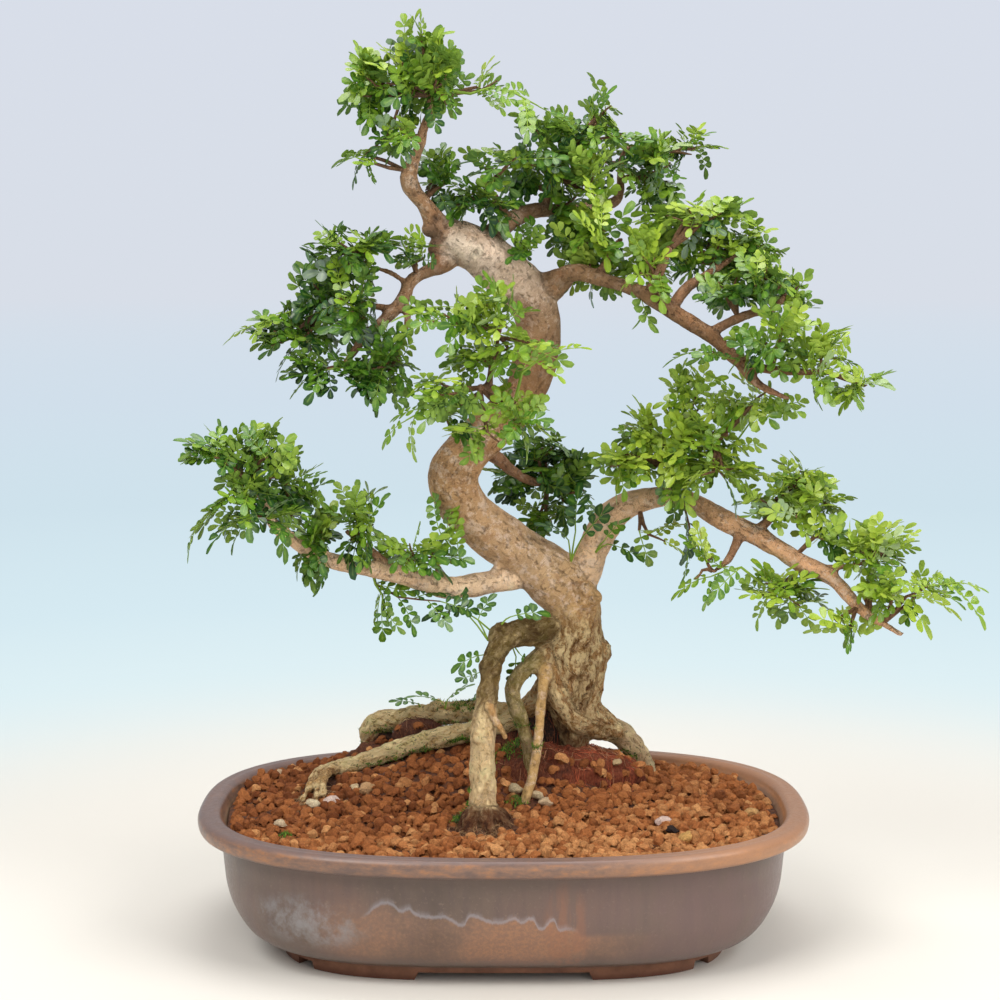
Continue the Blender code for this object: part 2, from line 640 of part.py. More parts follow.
def limb(name, route, resolution, extra, collection):
    """One tube of wood, a little lumpy, with extra added all over its surface."""
    smooth = smooth_route(route)
    places = [point.to_3d() for point in smooth]
    radii = [point.w + extra for point in smooth]
    places[0] -= (places[1] - places[0]).normalized() * extra
    places[-1] += (places[-1] - places[-2]).normalized() * extra
    made = wire(name, places, radii, collection, resolution)
    bark_lumps(made, places)
    return made


def bark_lumps(made, places):
    for vert in made.data.vertices:
        nearest = min(places, key=lambda place: (place - vert.co).length_squared)
        offset = vert.co - nearest
        lump = noise.noise(nearest / BARK_LUMP_SIZE + offset.normalized() * 0.9)
        vert.co += offset * lump * BARK_LUMP


def wood(name, extra, collection):
    """Trunk, branches and roots grown together as one piece."""
    trunk = limb(name, TRUNK, TRUNK_RESOLUTION, extra, collection)
    limbs = []
    for key, route in [*BRANCHES.items(), *ROOTS.items()]:
        resolution = LIMB_RESOLUTION if route[0][3] > TWIG_RADIUS else TWIG_RESOLUTION
        limbs.append(limb(key, route, resolution, extra, collection))
    boolean(trunk, "UNION", limbs)
    weld(trunk)
    keep_largest(trunk)
    return trunk


def soil_height(x, y):
    """The soil is low along the rim and heaped round the roots, with small crumbs all over."""
    across = SOIL_SPREAD_LEFT_RIGHT[0 if x < SOIL_MIDDLE[0] else 1]
    along = SOIL_SPREAD_FRONT_BACK[0 if y < SOIL_MIDDLE[1] else 1]
    heap = math.exp(-((x - SOIL_MIDDLE[0]) / across) ** 2 - ((y - SOIL_MIDDLE[1]) / along) ** 2)
    ball_distance = math.hypot(x - ROOT_BALL[0], y - ROOT_BALL[1])
    ball = math.exp(-(ball_distance / ROOT_BALL_SPREAD) ** 2)
    crumbs = noise.noise(Vector((x, y, 0.0)) / SOIL_GRAIN)
    return SOIL_EDGE + SOIL_PEAK * heap + ROOT_BALL_RISE * ball + SOIL_ROUGHNESS * crumbs


def soil(collection, grown_wood):
    """The soil fills the tray, leaves room for the meshes and has a plain socket for each root."""
    under = FLOOR_TOP + FIT
    edge = WALL_HALF_LENGTH - WALL_THICKNESS + 0.0035
    top = [(edge * step / SOIL_RINGS, SOIL_EDGE) for step in range(SOIL_RINGS + 1)]
    side = [(radius - 1.5 * FIT, height + FIT) for radius, height in inner_profile()[:0:-1]]
    made = turned_oval("soil", top + side + [(0.0, under)], collection)
    for vert in made.data.vertices:
        if abs(vert.co.z - SOIL_EDGE) < 0.00001:
            vert.co.z = soil_height(vert.co.x, vert.co.y)
    pockets = []
    half = (MESH_OPENINGS_PER_SIDE * (MESH_OPENING + MESH_BAR) + MESH_BAR) / 2.0 + 2.0 * SEAT
    pocket_top = FLOOR_TOP + MESH_THICKNESS + 2.0 * CLIP_WIRE_RADIUS + 4.0 * SEAT
    for end in (-1, 1):
        pocket = block("pocket", (half, half, 0.0), (half, half, pocket_top), collection)
        pocket.location = (end * HOLE_OFFSET, 0.0, 0.0)
        pockets.append(pocket)
    boolean(made, "DIFFERENCE", pockets + [grown_wood])
    keep_largest(made)
    return made


def blade_points(length, pairs):
    """Half of a leaf's outline as (along, across) points, with the faces that fill it.

    The rib is a narrow strip. Each leaflet is a flap on it, cut from the next one down to the rib.
    """
    stalk = 0.17 * length
    terminal = 0.30 * length
    step = (length - stalk - terminal) / pairs
    reach = 0.26 * length
    rib = [0.0] + [stalk + index * step for index in range(pairs + 1)]
    flaps = []
    for start in rib[1:-1]:
        flaps.append([(start + 0.20 * step, 0.93 * reach), (start + 0.80 * step, reach)])
    tip = [(rib[-1] + 0.62 * terminal, 0.58 * reach), (length, 0.0)]
    return rib, flaps, tip


def leaf_mesh(length, pairs, lift, droop, thickness):
    """One leaf along +X, its face up, as vertices and triangles of one closed blade."""
    rib, flaps, tip = blade_points(length, pairs)
    flat = []
    faces = []

    def point(along, across):
        flat.append((along, across))
        return len(flat) - 1

    left = [point(along, RACHIS_HALF_WIDTH) for along in rib]
    right = [point(along, -RACHIS_HALF_WIDTH) for along in rib]
    left_edge = [left[0], left[1]]
    right_edge = [right[0], right[1]]
    for index in range(len(rib) - 1):
        faces.append((right[index], right[index + 1], left[index + 1], left[index]))
    for index, flap in enumerate(flaps):
        upper = [point(along, across) for along, across in flap]
        lower = [point(along, -across) for along, across in flap]
        faces.append((left[index + 1], left[index + 2], upper[1], upper[0]))
        faces.append((right[index + 2], right[index + 1], lower[0], lower[1]))
        left_edge += upper + [left[index + 2]]
        right_edge += lower + [right[index + 2]]
    (along, across), end = tip
    tips = [point(along, -across), point(*end), point(along, across)]
    faces.append((left[-1], right[-1], *tips))
    outline = right_edge + tips + left_edge[::-1]

    def raised(along, across, side):
        height = lift * abs(across) - droop * along * along / length
        return Vector((along, across, height + side * thickness / 2.0))

    verts = [raised(*place, 1.0) for place in flat] + [raised(*place, -1.0) for place in flat]
    count = len(flat)
    triangles = []
    for face in faces:
        for index in range(1, len(face) - 1):
            a, b, c = face[0], face[index], face[index + 1]
            triangles.append((a, b, c))
            triangles.append((c + count, b + count, a + count))
    for index, start in enumerate(outline):
        end = outline[(index + 1) % len(outline)]
        triangles.append((start + count, end + count, end))
        triangles.append((start + count, end, start))
    return verts, triangles


def leaf_matrix(root, direction, roll):
    """Stand a leaf at its root, pointing along direction, with its face turned up."""
    along = direction.normalized()
    up = Vector((0.0, 0.0, 1.0))
    if abs(along.z) > 0.97:
        up = Vector((0.0, -1.0, 0.0))
    across = up.cross(along).normalized()
    face = along.cross(across)
    turn = Matrix((along, across, face)).transposed().to_4x4()
    return Matrix.Translation(root) @ turn @ Matrix.Rotation(roll, 4, "X")


class Leaves:
    """Places leaves one by one, and refuses a leaf that would cross what is already there."""

    def __init__(self, blocked):
        self.blocked = blocked
        self.own = []
        self.made = []

    def try_leaf(self, rng, root, direction, length, pairs):
        lift = rng.uniform(*LEAF_LIFT_RANGE)
        droop = rng.uniform(*LEAF_DROOP_RANGE)
        matrix = leaf_matrix(root, direction, rng.uniform(-LEAF_ROLL, LEAF_ROLL))
        fat, triangles = leaf_mesh(length, pairs, lift, droop, LEAF_CLEARANCE)
        fat = [matrix @ vert for vert in fat]
        tree = BVHTree.FromPolygons(fat, triangles)
        if any(tree.overlap(other) for other in self.blocked):
            return False
        apart = LEAF_ROOT_SHARE * length
        free = [face for face in triangles if all((fat[i] - root).length > apart for i in face)]
        free_tree = BVHTree.FromPolygons(fat, free)
        if any(free_tree.overlap(other) for other in self.own):
            return False
        verts, triangles = leaf_mesh(length, pairs, lift, droop, LEAF_THICKNESS)
        self.own.append(tree)
        self.made.append(([matrix @ vert for vert in verts], triangles))
        return True


def leaf_objects(leaves, collection):
    made = []
    for verts, triangles in leaves.made:
        data = bpy.data.meshes.new("leaf")
        data.from_pydata(verts, [], triangles)
        made.append(add_object("leaf", data, collection))
    return made


def bunch(name, middle, radius, collection):
    """The small dense heart of a spray, crinkled like the short leaves that crowd there."""
    work = bmesh.new()
    bmesh.ops.create_uvsphere(work, u_segments=HEART_SEGMENTS, v_segments=HEART_RINGS, radius=1.0)
    for vert in work.verts:
        segment = round(math.atan2(vert.co.y, vert.co.x) / (2.0 * math.pi / HEART_SEGMENTS))
        ring = round(math.acos(max(-1.0, min(1.0, vert.co.z))) / (math.pi / HEART_RINGS))
        crinkle = HEART_CRINKLE if (segment + ring) % 2 else -HEART_CRINKLE
        vert.co *= 1.0 + crinkle + HEART_UNEVEN * noise.noise(vert.co * 1.3 + middle * 40.0)
        vert.co.z *= HEART_FLATNESS
        vert.co = vert.co * radius + middle
    data = bpy.data.meshes.new(name)
    work.to_mesh(data)
    work.free()
    return add_object(name, data, collection)


def spray(name, index, blocked, collection):
    """A bunch with its leaves standing out on all sides, most of them upwards."""
    middle, radius, count = SPRAYS[name]
    middle = Vector(middle)
    rng = random.Random(SEED + index)
    leaves = Leaves(blocked)
    outward = math.atan2(middle.y - TREE_AXIS[1], middle.x - TREE_AXIS[0])
    for leaf in range(count):
        share = (leaf + 0.5) / count
        for _ in range(LEAF_TRIES):
            fan = LOWEST_LEAF + LEAF_FAN * share ** 1.2
            rise = math.radians(fan + rng.uniform(-LEAF_SCATTER, LEAF_SCATTER))
            angle = outward + leaf * GOLDEN_ANGLE + rng.uniform(-0.5, 0.5)
            direction = Vector((
                math.cos(angle) * math.cos(rise), math.sin(angle) * math.cos(rise), math.sin(rise)))
            root = middle + direction * radius * LEAF_START
            length = LEAF_LENGTH * rng.uniform(*LEAF_SIZE_RANGE)
            if leaves.try_leaf(rng, root, direction, length, LEAFLET_PAIRS):
                break
    core = bunch(name, middle, radius, collection)
    boolean(core, "UNION", leaf_objects(leaves, collection), "MANIFOLD")
    return core


def sprig(name, index, blocked, collection):
    """A thin green shoot from old wood with a few small leaves."""
    start, end, count = SPRIGS[name]
    start = Vector(start)
    end = Vector(end)
    rng = random.Random(SEED * 7 + index)
    leaves = Leaves(blocked)
    axis = (end - start).normalized()
    for leaf in range(count):
        for _ in range(LEAF_TRIES):
            angle = leaf * GOLDEN_ANGLE + rng.uniform(-0.6, 0.6)
            side = axis.orthogonal().normalized()
            side.rotate(Matrix.Rotation(angle, 3, axis))
            direction = axis * (0.5 + leaf / count) + side
            root = start.lerp(end, 0.70 + 0.28 * leaf / count)
            if leaves.try_leaf(rng, root, direction, SPRIG_LEAF_LENGTH, LEAFLET_PAIRS):
                break
    bend = start.lerp(end, 0.5) + Vector((0.0, -0.0015, 0.001))
    stem = wire(name, [start, bend, end + axis * 0.001], SPRIG_STEM_RADIUS, collection)
    boolean(stem, "UNION", leaf_objects(leaves, collection), "MANIFOLD")
    return stem


def seat_on_wood(target, grown_wood, collection):
    """Cut a piece clear of the wood that bears it and drop the scraps."""
    cutter = add_object("seat", grown_wood.data.copy(), collection)
    boolean(target, "DIFFERENCE", [cutter], "MANIFOLD")
    weld(target)
    keep_largest(target)
    merge_flat(target)


def body_tree(target):
    data = target.data
    return BVHTree.FromPolygons(
        [vert.co.copy() for vert in data.vertices], [tuple(face.vertices) for face in data.polygons])


def foliage(collection, grown_wood, finish_material):
    """All sprays and sprigs, each kept clear of the wood and of those made before it."""
    blocked = [body_tree(grown_wood)]
    hearts = {}
    for name, (middle, radius, _) in SPRAYS.items():
        heart = bunch("heart", Vector(middle), radius + LEAF_CLEARANCE, collection)
        hearts[name] = body_tree(heart)
        bpy.data.objects.remove(heart)
    made = []
    for index, name in enumerate([*SPRAYS, *SPRIGS]):
        others = [tree for key, tree in hearts.items() if key != name]
        maker = spray if name in SPRAYS else sprig
        piece = maker(name, index, blocked + others, collection)
        seat_on_wood(piece, grown_wood, collection)
        finish(piece, finish_material, smooth=False)
        blocked.append(body_tree(piece))
        made.append(piece)
    return made


def main():
    for old in list(bpy.data.objects):
        bpy.data.objects.remove(old)
    collection = bpy.data.collections.new("chinese_pepper_bonsai")
    bpy.context.scene.collection.children.link(collection)

    glaze = material("brown_grey_glaze", (0.19, 0.13, 0.105), 0.32)
    bark = material("pale_bark", (0.45, 0.34, 0.22), 0.85)
    earth = material("red_brown_grains", (0.30, 0.12, 0.05), 0.95)
    leaf_green = material("leaf_green", (0.09, 0.22, 0.035), 0.45)
    plastic = material("black_plastic", (0.03, 0.03, 0.03), 0.6)
    steel = material("clip_wire", (0.45, 0.43, 0.40), 0.4, 1.0)

    pieces = [tray(collection)]
    finish(pieces[0], glaze)
    tree = wood("wood", 0.0, collection)
    finish(tree, bark)
    grown = wood("grown_wood", SEAT * 1.4, collection)
    soil_cutter = add_object("sockets", grown.data.copy(), collection)
    ground = soil(collection, soil_cutter)
    finish(ground, earth)
    pieces += [tree, ground]
    for word, side in (("left", -1), ("right", 1)):
        grille = drainage_mesh("drainage_mesh_" + word, side, collection)
        finish(grille, plastic, smooth=False)
        clip = mesh_clip("mesh_clip_" + word, side, collection)
        finish(clip, steel)
        pieces += [grille, clip]
    pieces += foliage(collection, grown, leaf_green)
    bpy.data.objects.remove(grown)

    stand = add_object("tray_middle", None, collection)
    stand.location = (TRAY_MIDDLE_X, 0.0, 0.0)
    for piece in pieces:
        piece.parent = stand


main()
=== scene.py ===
"""The looks of a Chinese pepper bonsai in an oval glazed tray.

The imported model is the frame. The wood, the leaves and the tray are replaced by finer pieces of
the same form, and clay grains, root fibres, moss and small shoots are added on them.
"""
import math
import random

import bmesh
import bpy
import numpy as np
from mathutils import Matrix, Vector, noise
from mathutils.bvhtree import BVHTree


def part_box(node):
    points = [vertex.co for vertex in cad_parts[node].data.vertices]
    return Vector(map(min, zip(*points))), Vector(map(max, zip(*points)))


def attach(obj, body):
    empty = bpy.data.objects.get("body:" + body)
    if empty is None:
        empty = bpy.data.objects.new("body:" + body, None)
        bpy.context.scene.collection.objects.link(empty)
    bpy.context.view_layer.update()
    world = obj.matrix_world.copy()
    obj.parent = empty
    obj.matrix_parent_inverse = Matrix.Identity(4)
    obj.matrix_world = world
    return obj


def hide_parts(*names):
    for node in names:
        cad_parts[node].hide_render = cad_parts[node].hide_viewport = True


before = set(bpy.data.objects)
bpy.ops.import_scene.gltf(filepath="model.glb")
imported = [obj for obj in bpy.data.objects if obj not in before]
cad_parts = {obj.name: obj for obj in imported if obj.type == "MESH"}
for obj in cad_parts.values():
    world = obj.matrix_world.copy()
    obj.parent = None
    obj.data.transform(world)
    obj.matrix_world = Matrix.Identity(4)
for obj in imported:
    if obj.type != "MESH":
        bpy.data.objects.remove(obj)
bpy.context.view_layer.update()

# The tray's middle on the floor, from the frame. All places below are measured from it, in metres
# where no other unit is named. Colours are 0 to 255 steps of a screen.
TRAY_LOW, TRAY_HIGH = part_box("tray")
MIDDLE = Vector(((TRAY_LOW.x + TRAY_HIGH.x) / 2.0, (TRAY_LOW.y + TRAY_HIGH.y) / 2.0, 0.0))
UP = Vector((0.0, 0.0, 1.0))
DOWN = -UP
BLACK = (0.0, 0.0, 0.0, 1.0)
WHITE = (1.0, 1.0, 1.0, 1.0)
FULL_TURN = 6.28  # how far a random turn goes


def metres(rows):
    """Rows of tenths of a millimetre, in metres."""
    return [tuple(step / 10000.0 for step in row) for row in rows]


def all_metres(table):
    return {key: metres(rows) for key, rows in table.items()}


def from_millimetres(steps):
    """The place at so many millimetres from the tray's middle."""
    return Vector([step / 1000.0 for step in steps]) + MIDDLE


# Camera
CAMERA_PLACE = Vector((-0.0024, -1.6, 0.50))
CAMERA_DIP = math.radians(7.125)
CAMERA_LENS = 85.1
SENSOR = 36.0

# Stage
BACKDROP_RADIUS = 12.0
FLOOR_RADIUS = 11.9

# Tray
TRAY_WIDTH_TO_LENGTH = 0.77
WALL_HALF_LENGTH = 0.193
WALL_THICKNESS = 0.007
FLOOR_BOTTOM = 0.0085
FLOOR_TOP = 0.0155
FOOT_HALF_LENGTH = 0.151
FOOT_WIDTH = 0.015
FOOT_OPENING_HEIGHT = 0.0055
HOLE_RADIUS = 0.011
HOLE_OFFSET = 0.085
RIM_SQUARENESS = 2.6
BASE_SQUARENESS = 3.3
TRAY_SIDES = 160
RUN_LOW = 0.02
RUN_SPAN = 0.06

# Wood
BARK_GRID = 0.00150
RING_SIDES = 14
RING_STEP = 0.003
ROUTE_PARTS = 30
THINNEST_LIMB = 0.0019
LIMB_CHUNK = 4000
SUNK_SCAR = 0.006  # scars smaller than this are sunk into the wood
SCAR_DEPTH = 0.0016
FURROW_DEPTH = 0.00105
MOTTLE_HEIGHT = 0.00050
LUMP_HEIGHT = 0.0008
TRUNK_ROUGH_FADE = 0.045

# Leaves
LEAFLET_LENGTH = 0.0091
LEAFLET_WIDTH = 0.0061
LEAFLET_STEP = 0.0060
PETIOLE = 0.0052
LEAF_KINDS = 30
LEAVES_PER_SHOOT = 7
TRIES_PER_LEAF = 24
SMALLEST_ROOM = 0.017
SMALLEST_LEAF = 0.72
LEAF_CLEARANCE = 0.005
TIP_CLEARANCE = 0.004
STEM_SIDES = 5
GOLDEN_ANGLE = math.radians(137.5)

# Soil
GRAIN_STEP = 0.0065
GRAIN_SHIFT = 0.0022
GRAIN_SIZES = (0.0046, 0.0096, 0.0070)  # smallest, largest and usual
GRAIN_CUTS = 11
SOIL_LENGTH = 0.42
SOIL_WIDTH = 0.32
ROW_SPACING = 0.866
UPPER_LAYER_SHARE = 0.36
SOIL_LOWEST = 0.07
ABOVE_ALL = 0.4
ABOVE_SOIL = 0.165
GRAIN_KINDS = 16
SEED = 5
NOISE_SEED = 7  # noise_vector's offsets otherwise start from the clock

# Trunk, branches, roots and ridges, in tenths of a millimetre: x, y, z and radius along each limb
TRUNK = metres([
    (510, 450, 1000, 105), (510, 450, 1190, 105), (490, 450, 1360, 130), (480, 440, 1520, 185),
    (480, 430, 1700, 225), (490, 420, 1900, 225), (500, 410, 2080, 195), (470, 400, 2260, 205),
    (350, 380, 2400, 210), (160, 350, 2560, 180), (-90, 300, 2740, 175), (-280, 250, 2930, 175),
    (-350, 220, 3130, 175), (-260, 240, 3300, 160), (-110, 290, 3440, 155), (50, 340, 3590, 150),
    (170, 380, 3760, 150), (230, 400, 4000, 155), (240, 380, 4190, 155), (180, 330, 4370, 165), (60, 270, 4490, 170),
    (-70, 220, 4610, 165), (-200, 170, 4700, 155), (-330, 130, 4770, 142), (-440, 100, 4860, 86),
    (-520, 80, 4980, 60), (-600, 50, 5080, 60), (-640, 30, 5180, 64), (-610, 10, 5280, 46), (-560, 0, 5390, 38),
    (-540, -20, 5490, 35), (-490, -40, 5620, 25), (-500, -60, 5740, 20),
])

BRANCHES = all_metres({
    "left_low": [
        (130, 340, 2440, 105), (-40, 270, 2400, 80), (-220, 180, 2380, 85), (-390, 80, 2380, 80),
        (-540, -30, 2440, 75), (-700, -130, 2500, 65), (-870, -220, 2550, 55), (-1050, -300, 2600, 55),
        (-1230, -370, 2670, 55), (-1420, -440, 2800, 50), (-1530, -490, 2910, 40), (-1590, -530, 3070, 30),
        (-1670, -560, 3200, 20)],
    "left_low_fork": [
        (-720, -140, 2510, 40), (-870, -200, 2660, 30), (-960, -240, 2740, 25), (-1060, -280, 2830, 17)],
    "left_low_side": [
        (-1480, -460, 2860, 30), (-1380, -400, 2970, 22), (-1280, -340, 3030, 17)],
    "left_low_twig": [
        (-350, 100, 2380, 40), (-420, 40, 2470, 30), (-470, -20, 2580, 22), (-510, -80, 2680, 17)],
    "right_low": [
        (480, 400, 2270, 140), (570, 400, 2440, 125), (630, 380, 2610, 110), (700, 350, 2760, 110),
        (790, 310, 2880, 100), (910, 270, 2950, 85), (1050, 220, 2990, 75), (1190, 160, 3010, 65),
        (1340, 90, 2950, 65), (1510, 10, 2860, 75), (1690, -80, 2780, 70), (1860, -170, 2690, 65),
        (2010, -250, 2600, 65), (2120, -310, 2560, 60), (2230, -360, 2490, 50), (2320, -410, 2390, 45),
        (2420, -450, 2290, 35), (2530, -490, 2230, 25), (2650, -530, 2160, 17)],
    "right_low_fork": [
        (2090, -300, 2560, 35), (2250, -340, 2590, 25), (2390, -380, 2620, 20), (2540, -420, 2700, 17)],
    "right_low_up": [
        (1690, -80, 2780, 40), (1790, -120, 2870, 30), (1880, -140, 2980, 25), (1930, -160, 3090, 17)],
    "right_low_stub": [
        (1620, -50, 2800, 50), (1570, -140, 2700, 35), (1500, -240, 2610, 25), (1400, -320, 2550, 17)],
    "right_low_side": [
        (2430, -460, 2280, 28), (2440, -380, 2350, 22), (2390, -280, 2420, 17)],
    "right_middle": [
        (1130, 210, 2980, 40), (1160, 140, 3120, 30), (1180, 60, 3250, 25), (1230, 0, 3370, 17)],
    "right_middle_side": [
        (1170, 110, 3200, 25), (1340, 0, 3350, 20), (1520, -110, 3470, 17)],
    "upper_left": [
        (-300, 150, 4700, 90), (-410, 80, 4600, 65), (-520, 20, 4550, 47), (-620, -50, 4490, 45),
        (-670, -120, 4380, 45), (-740, -180, 4290, 45), (-840, -230, 4200, 40), (-940, -280, 4100, 35),
        (-1060, -340, 3940, 25)],
    "upper_left_fork": [
        (-720, -180, 4300, 30), (-880, -140, 4330, 25), (-980, -100, 4360, 20), (-1130, -80, 4390, 17)],
    "upper_left_top": [
        (-630, -60, 4460, 25), (-760, -140, 4550, 20), (-900, -180, 4590, 17), (-1050, -220, 4600, 17)],
    "upper_left_twig": [
        (-670, -120, 4380, 30), (-640, -180, 4260, 25), (-660, -260, 4140, 20), (-700, -340, 4040, 17)],
    "upper_back": [
        (-160, 180, 4700, 100), (-60, 260, 4810, 80), (50, 360, 4890, 65), (180, 470, 4950, 60),
        (320, 580, 4960, 50), (490, 690, 4960, 50), (670, 790, 4990, 45), (810, 870, 5040, 35), (830, 880, 5230, 30),
        (840, 880, 5340, 25), (890, 880, 5410, 20)],
    "upper_back_twig": [
        (280, 560, 4940, 35), (310, 520, 5090, 30), (360, 500, 5210, 20), (410, 480, 5320, 17)],
    "upper_back_near": [
        (40, 350, 4870, 40), (-20, 260, 4980, 35), (-80, 200, 5080, 25), (-150, 140, 5150, 17)],
    "upper_right": [
        (180, 340, 4330, 125), (290, 300, 4440, 95), (400, 240, 4510, 70), (520, 180, 4540, 60),
        (650, 110, 4500, 50), (830, 20, 4450, 50), (970, -50, 4390, 55), (1110, -120, 4300, 55),
        (1240, -190, 4220, 55), (1370, -260, 4140, 50), (1470, -320, 4050, 50), (1560, -370, 3970, 45),
        (1700, -420, 3930, 35), (1900, -480, 3910, 30), (2160, -540, 3910, 17)],
    "upper_right_near": [
        (630, 120, 4500, 35), (700, 160, 4610, 30), (750, 200, 4710, 20), (810, 240, 4770, 17)],
    "upper_right_up": [
        (970, -50, 4380, 45), (1030, -30, 4500, 40), (1070, -20, 4600, 35), (1120, -20, 4720, 25)],
    "upper_right_fork": [
        (1110, -120, 4290, 45), (1230, -40, 4440, 40), (1330, 40, 4500, 35), (1480, 120, 4590, 25),
        (1620, 180, 4680, 17)],
    "upper_right_end": [
        (1350, -260, 4140, 35), (1500, -240, 4220, 35), (1650, -210, 4280, 30), (1780, -190, 4300, 25),
        (1860, -180, 4370, 20), (1900, -170, 4470, 17)],
    "upper_right_low": [
        (1560, -370, 3960, 35), (1650, -420, 3850, 35), (1740, -460, 3790, 25), (1880, -500, 3730, 17)],
    "front": [
        (80, 340, 3670, 70), (-10, 80, 3720, 50), (-90, -200, 3770, 40), (-160, -480, 3800, 30)],
    "front_up": [
        (-100, -250, 3770, 30), (-80, -400, 3940, 25), (-40, -480, 4100, 20), (-20, -520, 4220, 17)],
    "back_middle": [
        (-200, 260, 3370, 60), (-40, 420, 3240, 50), (60, 560, 3140, 40), (190, 700, 3050, 35), (340, 840, 3010, 25)],
})

ROOTS = all_metres({
    "arch": [
        (410, 410, 2040, 90), (290, 320, 2020, 80), (140, 200, 2020, 75), (20, 70, 2020, 75), (-50, -60, 1930, 70),
        (-90, -180, 1790, 68), (-120, -280, 1630, 78), (-135, -380, 1450, 86), (-145, -440, 1280, 84),
        (-140, -480, 1120, 86), (-145, -500, 980, 92), (-140, -510, 880, 108), (-150, -520, 760, 110)],
    "green": [
        (370, 380, 1890, 75), (240, 280, 1840, 70), (120, 180, 1760, 60), (60, 100, 1660, 56), (90, 80, 1540, 56),
        (140, 80, 1400, 50), (170, 80, 1240, 45), (180, 80, 960, 40)],
    "thin": [
        (370, 340, 1860, 55), (300, 220, 1790, 42), (270, 120, 1630, 37), (250, 40, 1450, 36), (230, -40, 1260, 36),
        (200, -100, 1100, 36), (160, -160, 980, 38), (130, -200, 840, 35)],
    "back": [
        (440, 480, 1580, 120), (320, 560, 1480, 95), (160, 630, 1400, 80), (-20, 690, 1370, 78),
        (-220, 740, 1370, 86), (-450, 790, 1340, 80), (-740, 840, 1290, 82), (-910, 870, 1260, 86),
        (-980, 880, 1180, 82), (-980, 880, 1090, 60), (-1000, 900, 880, 45)],
    "left": [
        (180, 540, 1370, 65), (-80, 500, 1310, 70), (-290, 470, 1270, 78), (-520, 450, 1230, 68),
        (-760, 440, 1160, 66), (-1010, 440, 1070, 62), (-1210, 440, 1010, 62), (-1310, 430, 980, 52),
        (-1340, 420, 960, 36)],
    "right": [
        (490, 440, 1480, 150), (580, 460, 1370, 125), (700, 520, 1310, 100), (820, 590, 1250, 92),
        (920, 650, 1150, 83), (1000, 710, 1020, 70), (1060, 750, 880, 58), (1080, 770, 720, 50)],
    "toe": [
        (-1190, 410, 1020, 45), (-1240, 260, 1025, 30), (-1250, 100, 995, 24), (-1240, -40, 945, 19)],
    "toe_middle": [
        (-1270, 410, 1005, 42), (-1295, 260, 1010, 28), (-1300, 80, 980, 22), (-1285, -100, 930, 18)],
    "toe_end": [
        (-1310, 410, 995, 36), (-1345, 260, 990, 26), (-1360, 60, 960, 21), (-1390, -80, 925, 18)],
    "stub": [
        (-940, 840, 1180, 50), (-1000, 780, 1100, 34), (-1080, 740, 1030, 22)],
    "leg_side": [
        (-100, -360, 1660, 30), (-50, -430, 1560, 22), (20, -460, 1440, 18)],
    "foot_left": [
        (-160, -520, 960, 70), (-250, -550, 910, 50), (-320, -580, 820, 26)],
    "foot_near": [
        (-180, -540, 960, 66), (-230, -620, 900, 48), (-260, -690, 820, 26)],
    "foot_front": [
        (-130, -550, 960, 66), (-110, -640, 900, 46), (-90, -710, 820, 24)],
    "foot_right": [
        (-110, -530, 960, 66), (-10, -570, 900, 44), (60, -620, 820, 24)],
    "foot_back": [
        (-100, -500, 960, 60), (0, -460, 910, 44), (70, -430, 840, 24)],
})

# Round knots on the leader, as x, y, z and radius
KNOTS = metres([
    (580, 200, 2350, 66), (635, 215, 2290, 58), (560, 220, 2270, 50), (300, 220, 1760, 80), (-430, 110, 4700, 90),
    (-400, 120, 4620, 80), (-505, 70, 4830, 52), (660, 380, 1880, 105), (400, 240, 1900, 65), (520, 260, 1780, 70),
    (440, 240, 1620, 70), (-90, -180, 1870, 85), (-20, 60, 2060, 90), (-170, -440, 1440, 62), (-480, 760, 1400, 60),
    (-220, 440, 1290, 60), (-52, 200, 2480, 42), (335, 290, 4430, 98), (405, 310, 4490, 84), (-729, -180, 2560, 42),
])
TRUNK_ROUGH_BELOW = 0.235

# Rootlets at the roots' ends: place on the soil, spread, length, number and colour
ROOTLETS = [
    ((-0.131, 0.000), 0.006, 0.018, 90, (186, 148, 104)),
    ((-0.014, -0.060), 0.016, 0.009, 190, (140, 106, 70)),
    ((-0.092, 0.010), 0.005, 0.010, 50, (120, 84, 76)),
    ((0.010, -0.002), 0.011, 0.014, 90, (132, 76, 52)),
    ((0.070, 0.040), 0.014, 0.014, 90, (170, 110, 76)),
]

# Pebbles: place on the soil, size and colour
PEBBLES = [
    ((-0.1300, -0.016), 0.0088, (216, 198, 164)),
    ((-0.1180, -0.014), 0.0086, (212, 188, 176)),
    ((-0.0950, 0.000), 0.0100, (190, 150, 108)),
    ((-0.1040, 0.006), 0.0064, (204, 178, 140)),
    ((-0.1604, 0.064), 0.0070, (198, 168, 136)),
    ((-0.1490, -0.052), 0.0072, (206, 182, 150)),
    ((0.0080, -0.010), 0.0080, (206, 184, 146)),
    ((0.0230, -0.016), 0.0078, (206, 184, 148)),
    ((0.0290, -0.024), 0.0072, (198, 170, 136)),
    ((0.0790, 0.020), 0.0068, (192, 164, 124)),
    ((0.1080, -0.048), 0.0086, (218, 190, 178)),
    ((0.1124, -0.066), 0.0074, (48, 38, 36)),
    ((0.1210, -0.084), 0.0100, (206, 160, 96)),
    ((0.1700, -0.020), 0.0080, (194, 150, 98)),
]

